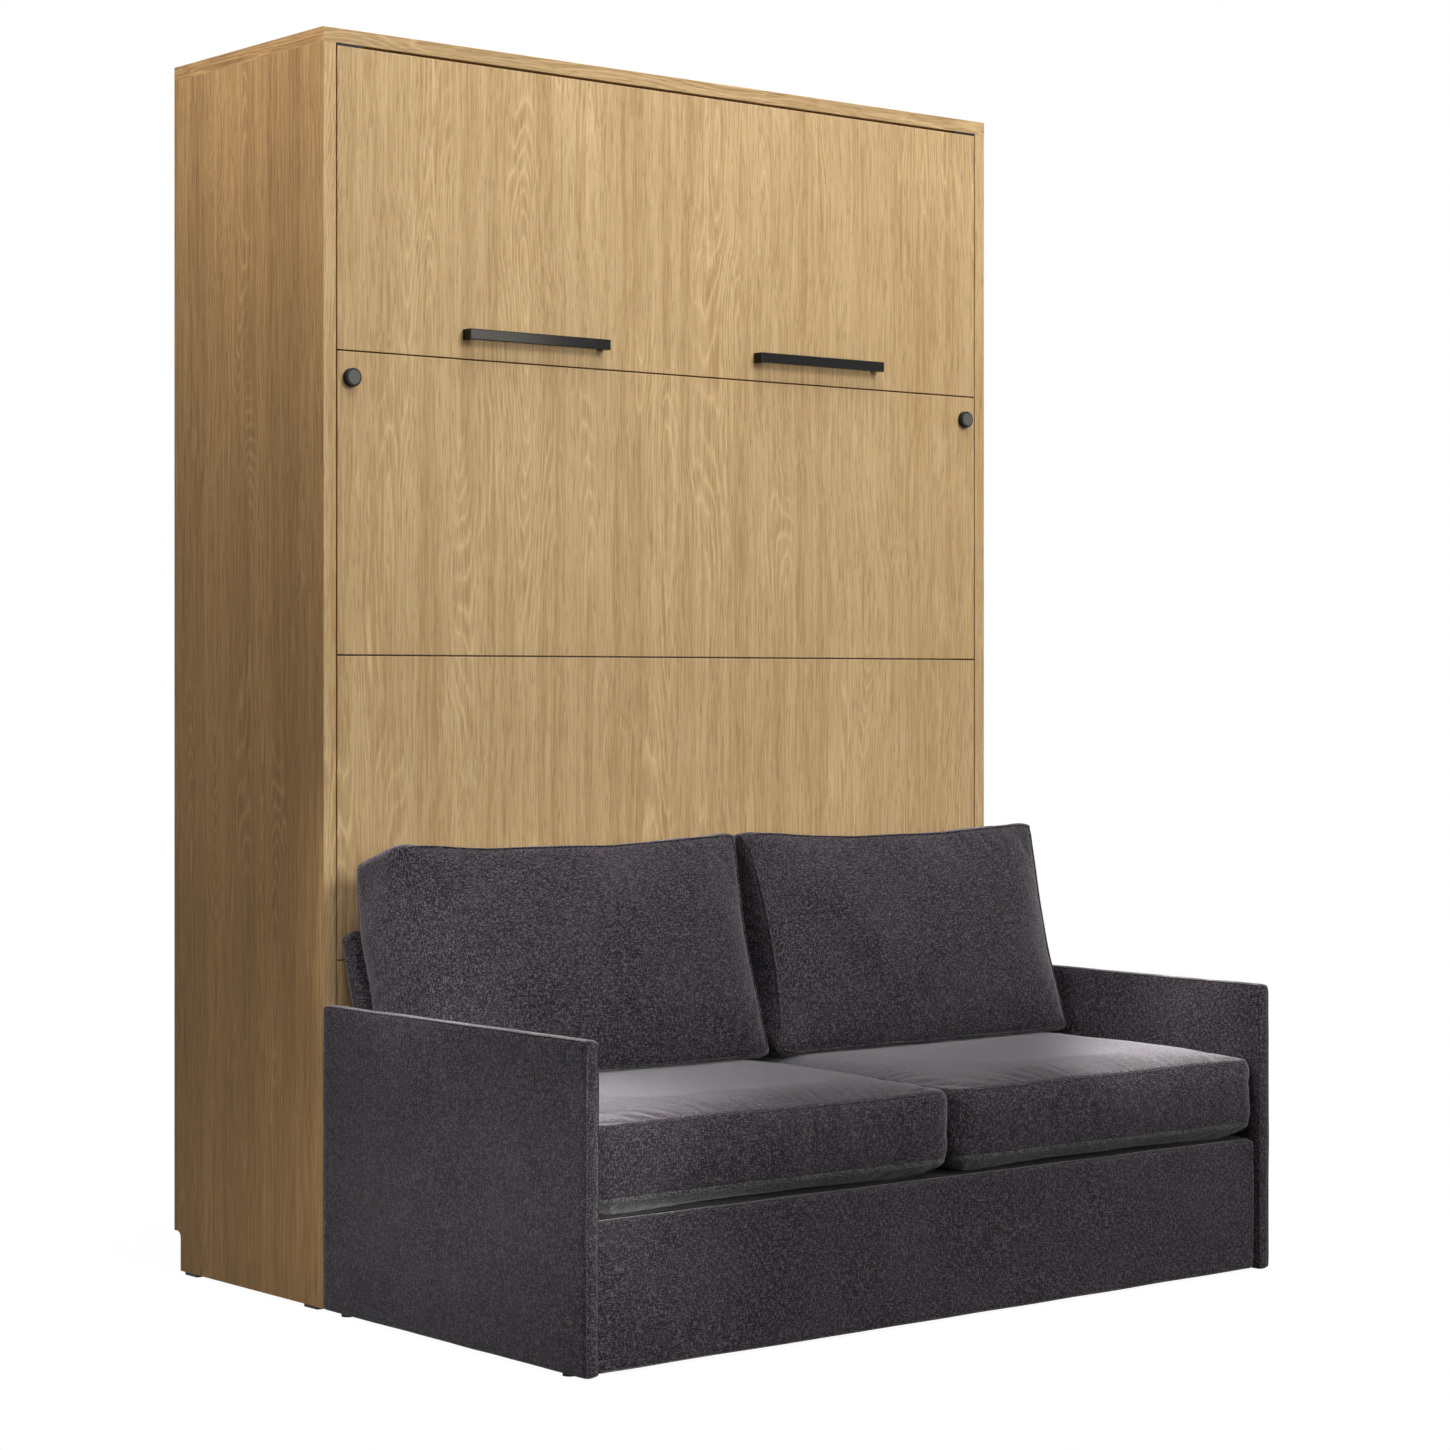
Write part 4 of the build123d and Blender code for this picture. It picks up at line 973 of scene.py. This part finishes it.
def back_place(across, through, up, low_x, high_x):
    """Maps shares of a cushion, each from -1 to 1, to its place on the seat."""
    rise = (up + 1) / 2
    y_front = FOOT_FRONT[0] + (TOP_FRONT[0] - FOOT_FRONT[0]) * rise
    z_front = FOOT_FRONT[1] + (TOP_FRONT[1] - FOOT_FRONT[1]) * rise
    z_back = seat_top + (TOP_BACK[1] - seat_top) * rise
    bend_y = backrest_face_y(BEND_Z)
    bent = bend_y + (TOP_BACK[0] - bend_y) * (z_back - BEND_Z) / (TOP_BACK[1] - BEND_Z)
    y_back = np.where(z_back < BEND_Z, backrest_face_y(z_back), bent) - 1.5 * mm
    share = (through + 1) / 2
    y = y_front + (y_back - y_front) * share
    z = z_front + (z_back - z_front) * share
    fullness = (1 - across**2) * (1 - up**2)
    bulge = np.clip(-through, 0, 1) * BACK_BULGE * fullness**0.5
    y = y - bulge * math.cos(LEAN)
    z = z + bulge * math.sin(LEAN)
    z = z - BACK_SAG * (1 - across**2) * np.clip(up, 0, 1) ** 3
    drawn = 1 - 0.022 * (1 - up**2) * np.abs(across) ** 2
    drawn -= 0.035 * np.clip(-through, 0, 1) ** 2 * np.abs(across) ** 6 * (1 - np.abs(up) ** 3)
    x = (low_x + high_x) / 2 + across * drawn * (high_x - low_x) / 2
    return np.stack((x, y, z), axis=1)


def back_limits(places, low_x, high_x):
    """Keeps a back cushion off the seat, the backrest, the oak front and its neighbour."""
    places[:, 2] = np.maximum(places[:, 2], seat_top)
    rest_y = backrest_face_y(np.minimum(places[:, 2], BEND_Z)) - 1.0 * mm
    free_y = front_y - 4 * mm
    limit = np.where(places[:, 2] < BEND_Z + 6 * mm, rest_y, free_y)
    places[:, 1] = np.minimum(places[:, 1], limit)
    places[:, 0] = np.clip(places[:, 0], low_x, high_x)
    return places


def panel_loop(through, low_x, high_x):
    """The line round a panel of the cushion at a share of its depth, before it is snapped on."""
    reach = 1 - WELT_INSET
    corners = [(-reach, -reach, 0), (reach, -reach, 0), (reach, reach, 0), (-reach, reach, 0)]
    shares = loop_through(corners, 0.02)
    across = np.array([p.x for p in shares])
    up = np.array([p.y for p in shares])
    return [Vector(p) for p in back_place(across, np.full(len(shares), through), up, low_x, high_x)]


for name, side in SIDES:
    low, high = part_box(f"back_cushion_{name}")
    cushion = add_block(f"back_pillow_{name}", (-1, -1, -1), (1, 1, 1))
    apply_modifier(cushion, "BEVEL", width=BACK_CORNER, segments=4, limit_method="ANGLE")
    only(cushion)
    bpy.ops.object.mode_set(mode="EDIT")
    bpy.ops.mesh.select_all(action="SELECT")
    bpy.ops.mesh.subdivide(number_cuts=20)
    bpy.ops.object.mode_set(mode="OBJECT")
    shares = points_of(cushion)
    set_points(cushion, back_place(shares[:, 0], shares[:, 1], shares[:, 2], low.x, high.x))
    remeshed(cushion, BACK_FACE)
    softened(cushion, 4)
    lines = []
    for through in (-1, 1):
        line = panel_loop(through, low.x, high.x)
        lines.append(relaxed(snapped(cushion, relaxed(line, 4)), 12))
    stuffed(cushion, 14 * mm, lines)
    softened(cushion, 2)
    push_along_normals(cushion, ripples(points_of(cushion), 0.10, 3.0 * mm, 41 + side))
    for line in lines:
        drawn_in(cushion, line, 10 * mm, 1.2 * mm)
    set_points(cushion, back_limits(points_of(cushion), low.x, high.x))
    apply_modifier(cushion, "SUBSURF", levels=1, render_levels=1)
    for welt_name, line in zip(("front", "back"), lines):
        line = relaxed(snapped(cushion, line, 1.0 * mm), 10)
        welt = tube_along(f"back_welt_{welt_name}_{name}", line, 1.9 * mm)
        dressed(welt, f"back_cushion_{name}", sofa_cloth, "upholstery")
    smooth(cushion)
    dressed(cushion, f"back_cushion_{name}", sofa_cloth, "upholstery", f"back_cushion_{name}")

# %% [markdown]
# The backrest is a board with a pad, both inside one cover. The cover is pulled tight, so it is a copy of
# their shape with soft edges. The welt up its ends and over its top is not made.

# %% Backrest cover
cover_data = bmesh.new()
for name in ("backrest_pad", "backrest_board"):
    cover_data.from_mesh(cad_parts[name].data)
bmesh.ops.remove_doubles(cover_data, verts=cover_data.verts, dist=0.05 * mm)
cover_mesh = bpy.data.meshes.new("backrest_cover")
cover_data.to_mesh(cover_mesh)
cover_data.free()
cover = bpy.data.objects.new("backrest_cover", cover_mesh)
bpy.context.scene.collection.objects.link(cover)
remeshed(cover, 5 * mm)
softened(cover, 2)
push_along_normals(cover, ripples(points_of(cover), 0.12, 0.8 * mm, 61))
smooth(cover)
dressed(cover, "backrest", sofa_cloth, "upholstery", "backrest_pad", "backrest_board")
cover.data.materials.append(band_cloth_painted_light)
rear_way = Vector((0, math.cos(LEAN), -math.sin(LEAN)))
for face in cover.data.polygons:
    face.material_index = int(face.normal.dot(rear_way) > 0.35)

# %% [markdown]
# A mattress has two quilted faces, a border between them and a tape over each edge. The quilting is real
# relief: the face is lowered along crossing lines, so that it shows in the mesh as well. Two straps hold
# the mattress on the slats when the bed is shut, and the foam gives a little under them.

# %% Mattress
QUILT_PITCH = 0.125
QUILT_DEPTH = 7 * mm
QUILT_WIDTH = 12 * mm
MATTRESS_EDGE = 22 * mm
MATTRESS_FACE = 11 * mm
STRAP_PRESS = 3.5 * mm
STRAP_MARGIN = 9 * mm
STRAP_FADE = 24 * mm


def under_straps(heights):
    """How far each height is pressed by a strap: 1 under it, fading to 0 beside it."""
    edges = sorted({round(float(z), 4) for z in points_of(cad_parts["mattress_straps"])[:, 2]})
    pressed = np.zeros(len(heights))
    for foot, top in zip(edges[::2], edges[1::2]):
        beside = np.maximum(foot - heights, heights - top) - STRAP_MARGIN
        pressed = np.maximum(pressed, np.clip(1 - beside / STRAP_FADE, 0, 1))
    return pressed**2 * (3 - 2 * pressed)


low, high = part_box("mattress")
mattress = add_block("mattress_cover", low, high)
apply_modifier(mattress, "BEVEL", width=MATTRESS_EDGE, segments=4, limit_method="ANGLE")
remeshed(mattress, MATTRESS_FACE)
places = points_of(mattress)
share = shares_of(places, low, high)
edge_fade = np.clip((1 - np.maximum(np.abs(share[:, 0]), np.abs(share[:, 2]))) * 9, 0, 1)
on_face = np.clip((np.abs(share[:, 1]) - 0.9) * 20, 0, 1)
depths = np.zeros(len(places))
for slope in (1, -1):
    across = (places[:, 0] + slope * places[:, 2]) / math.sqrt(2)
    gap = np.abs((across / QUILT_PITCH + 0.5) % 1 - 0.5) * QUILT_PITCH
    depths = np.maximum(depths, np.exp(-((gap / QUILT_WIDTH) ** 2)))
places[:, 1] -= np.sign(share[:, 1]) * on_face * edge_fade * depths * QUILT_DEPTH
pressed = STRAP_PRESS * under_straps(places[:, 2])
places[:, 1] -= pressed * np.clip((share[:, 1] - 0.7) / 0.3, 0, 1)
places[:, 0] -= pressed * np.sign(share[:, 0]) * np.clip((np.abs(share[:, 0]) - 0.95) / 0.05, 0, 1)
set_points(mattress, places)
softened(mattress, 1, 0.4)
print("quilted every", QUILT_PITCH, "m, pressed in by", STRAP_PRESS / mm, "mm under the straps")

# %% [markdown]
# The tape over each edge is a tube laid just inside the edge's round corner, so half of it shows.

# %% Tapes of the mattress
TAPE_INSET = 7 * mm
TAPE_RADIUS = 3.2 * mm
left_x, right_x = low.x + TAPE_INSET, high.x - TAPE_INSET
foot_z, head_z = low.z + TAPE_INSET, high.z - TAPE_INSET
for tape_name, y in (("front", low.y + TAPE_INSET), ("back", high.y - TAPE_INSET)):
    corners = [(left_x, y, foot_z), (right_x, y, foot_z), (right_x, y, head_z), (left_x, y, head_z)]
    line = relaxed(loop_through(corners, 12 * mm), 14)
    line = relaxed(snapped(mattress, line, 0.5 * mm), 2)
    tape = tube_along(f"mattress_tape_{tape_name}", line, TAPE_RADIUS)
    dressed(tape, "bed", ticking, "ticking")
smooth(mattress)
dressed(mattress, "bed", ticking, "ticking", "mattress")

# %% [markdown]
# The round feet of the legs are black plastic with a black rim, and their flat face shows grey where light
# falls on it. A thin grey disc is added for the face as painted light, turned to look forwards, and its edge
# is bevelled so that it catches a line of light.

# %% Faces of the leg feet
DISC_DEPTH = 1.2 * mm
DISC_SHARE = 0.76
for name, side in SIDES:
    low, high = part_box(f"leg_pad_{name}")
    centre = ((low.x + high.x) / 2, low.y - 0.35 * mm, (low.z + high.z) / 2)
    radius = (high.x - low.x) / 2
    bpy.ops.mesh.primitive_cylinder_add(
        vertices=48, radius=DISC_SHARE * radius, depth=DISC_DEPTH, location=centre, rotation=(QUARTER, 0, 0)
    )
    disc = bpy.context.object
    disc.name = f"leg_pad_face_{name}"
    bpy.ops.object.transform_apply(location=True, rotation=True, scale=True)
    apply_modifier(disc, "BEVEL", width=0.35 * mm, segments=2, limit_method="ANGLE")
    smooth(disc, 20)
    dressed(disc, f"leg_{name}", pad_face_painted_light, "black_plastic")

# %% [markdown]
# Nothing more is added here; the selection is cleared.

# %% Clear the selection
bpy.ops.object.select_all(action="DESELECT")
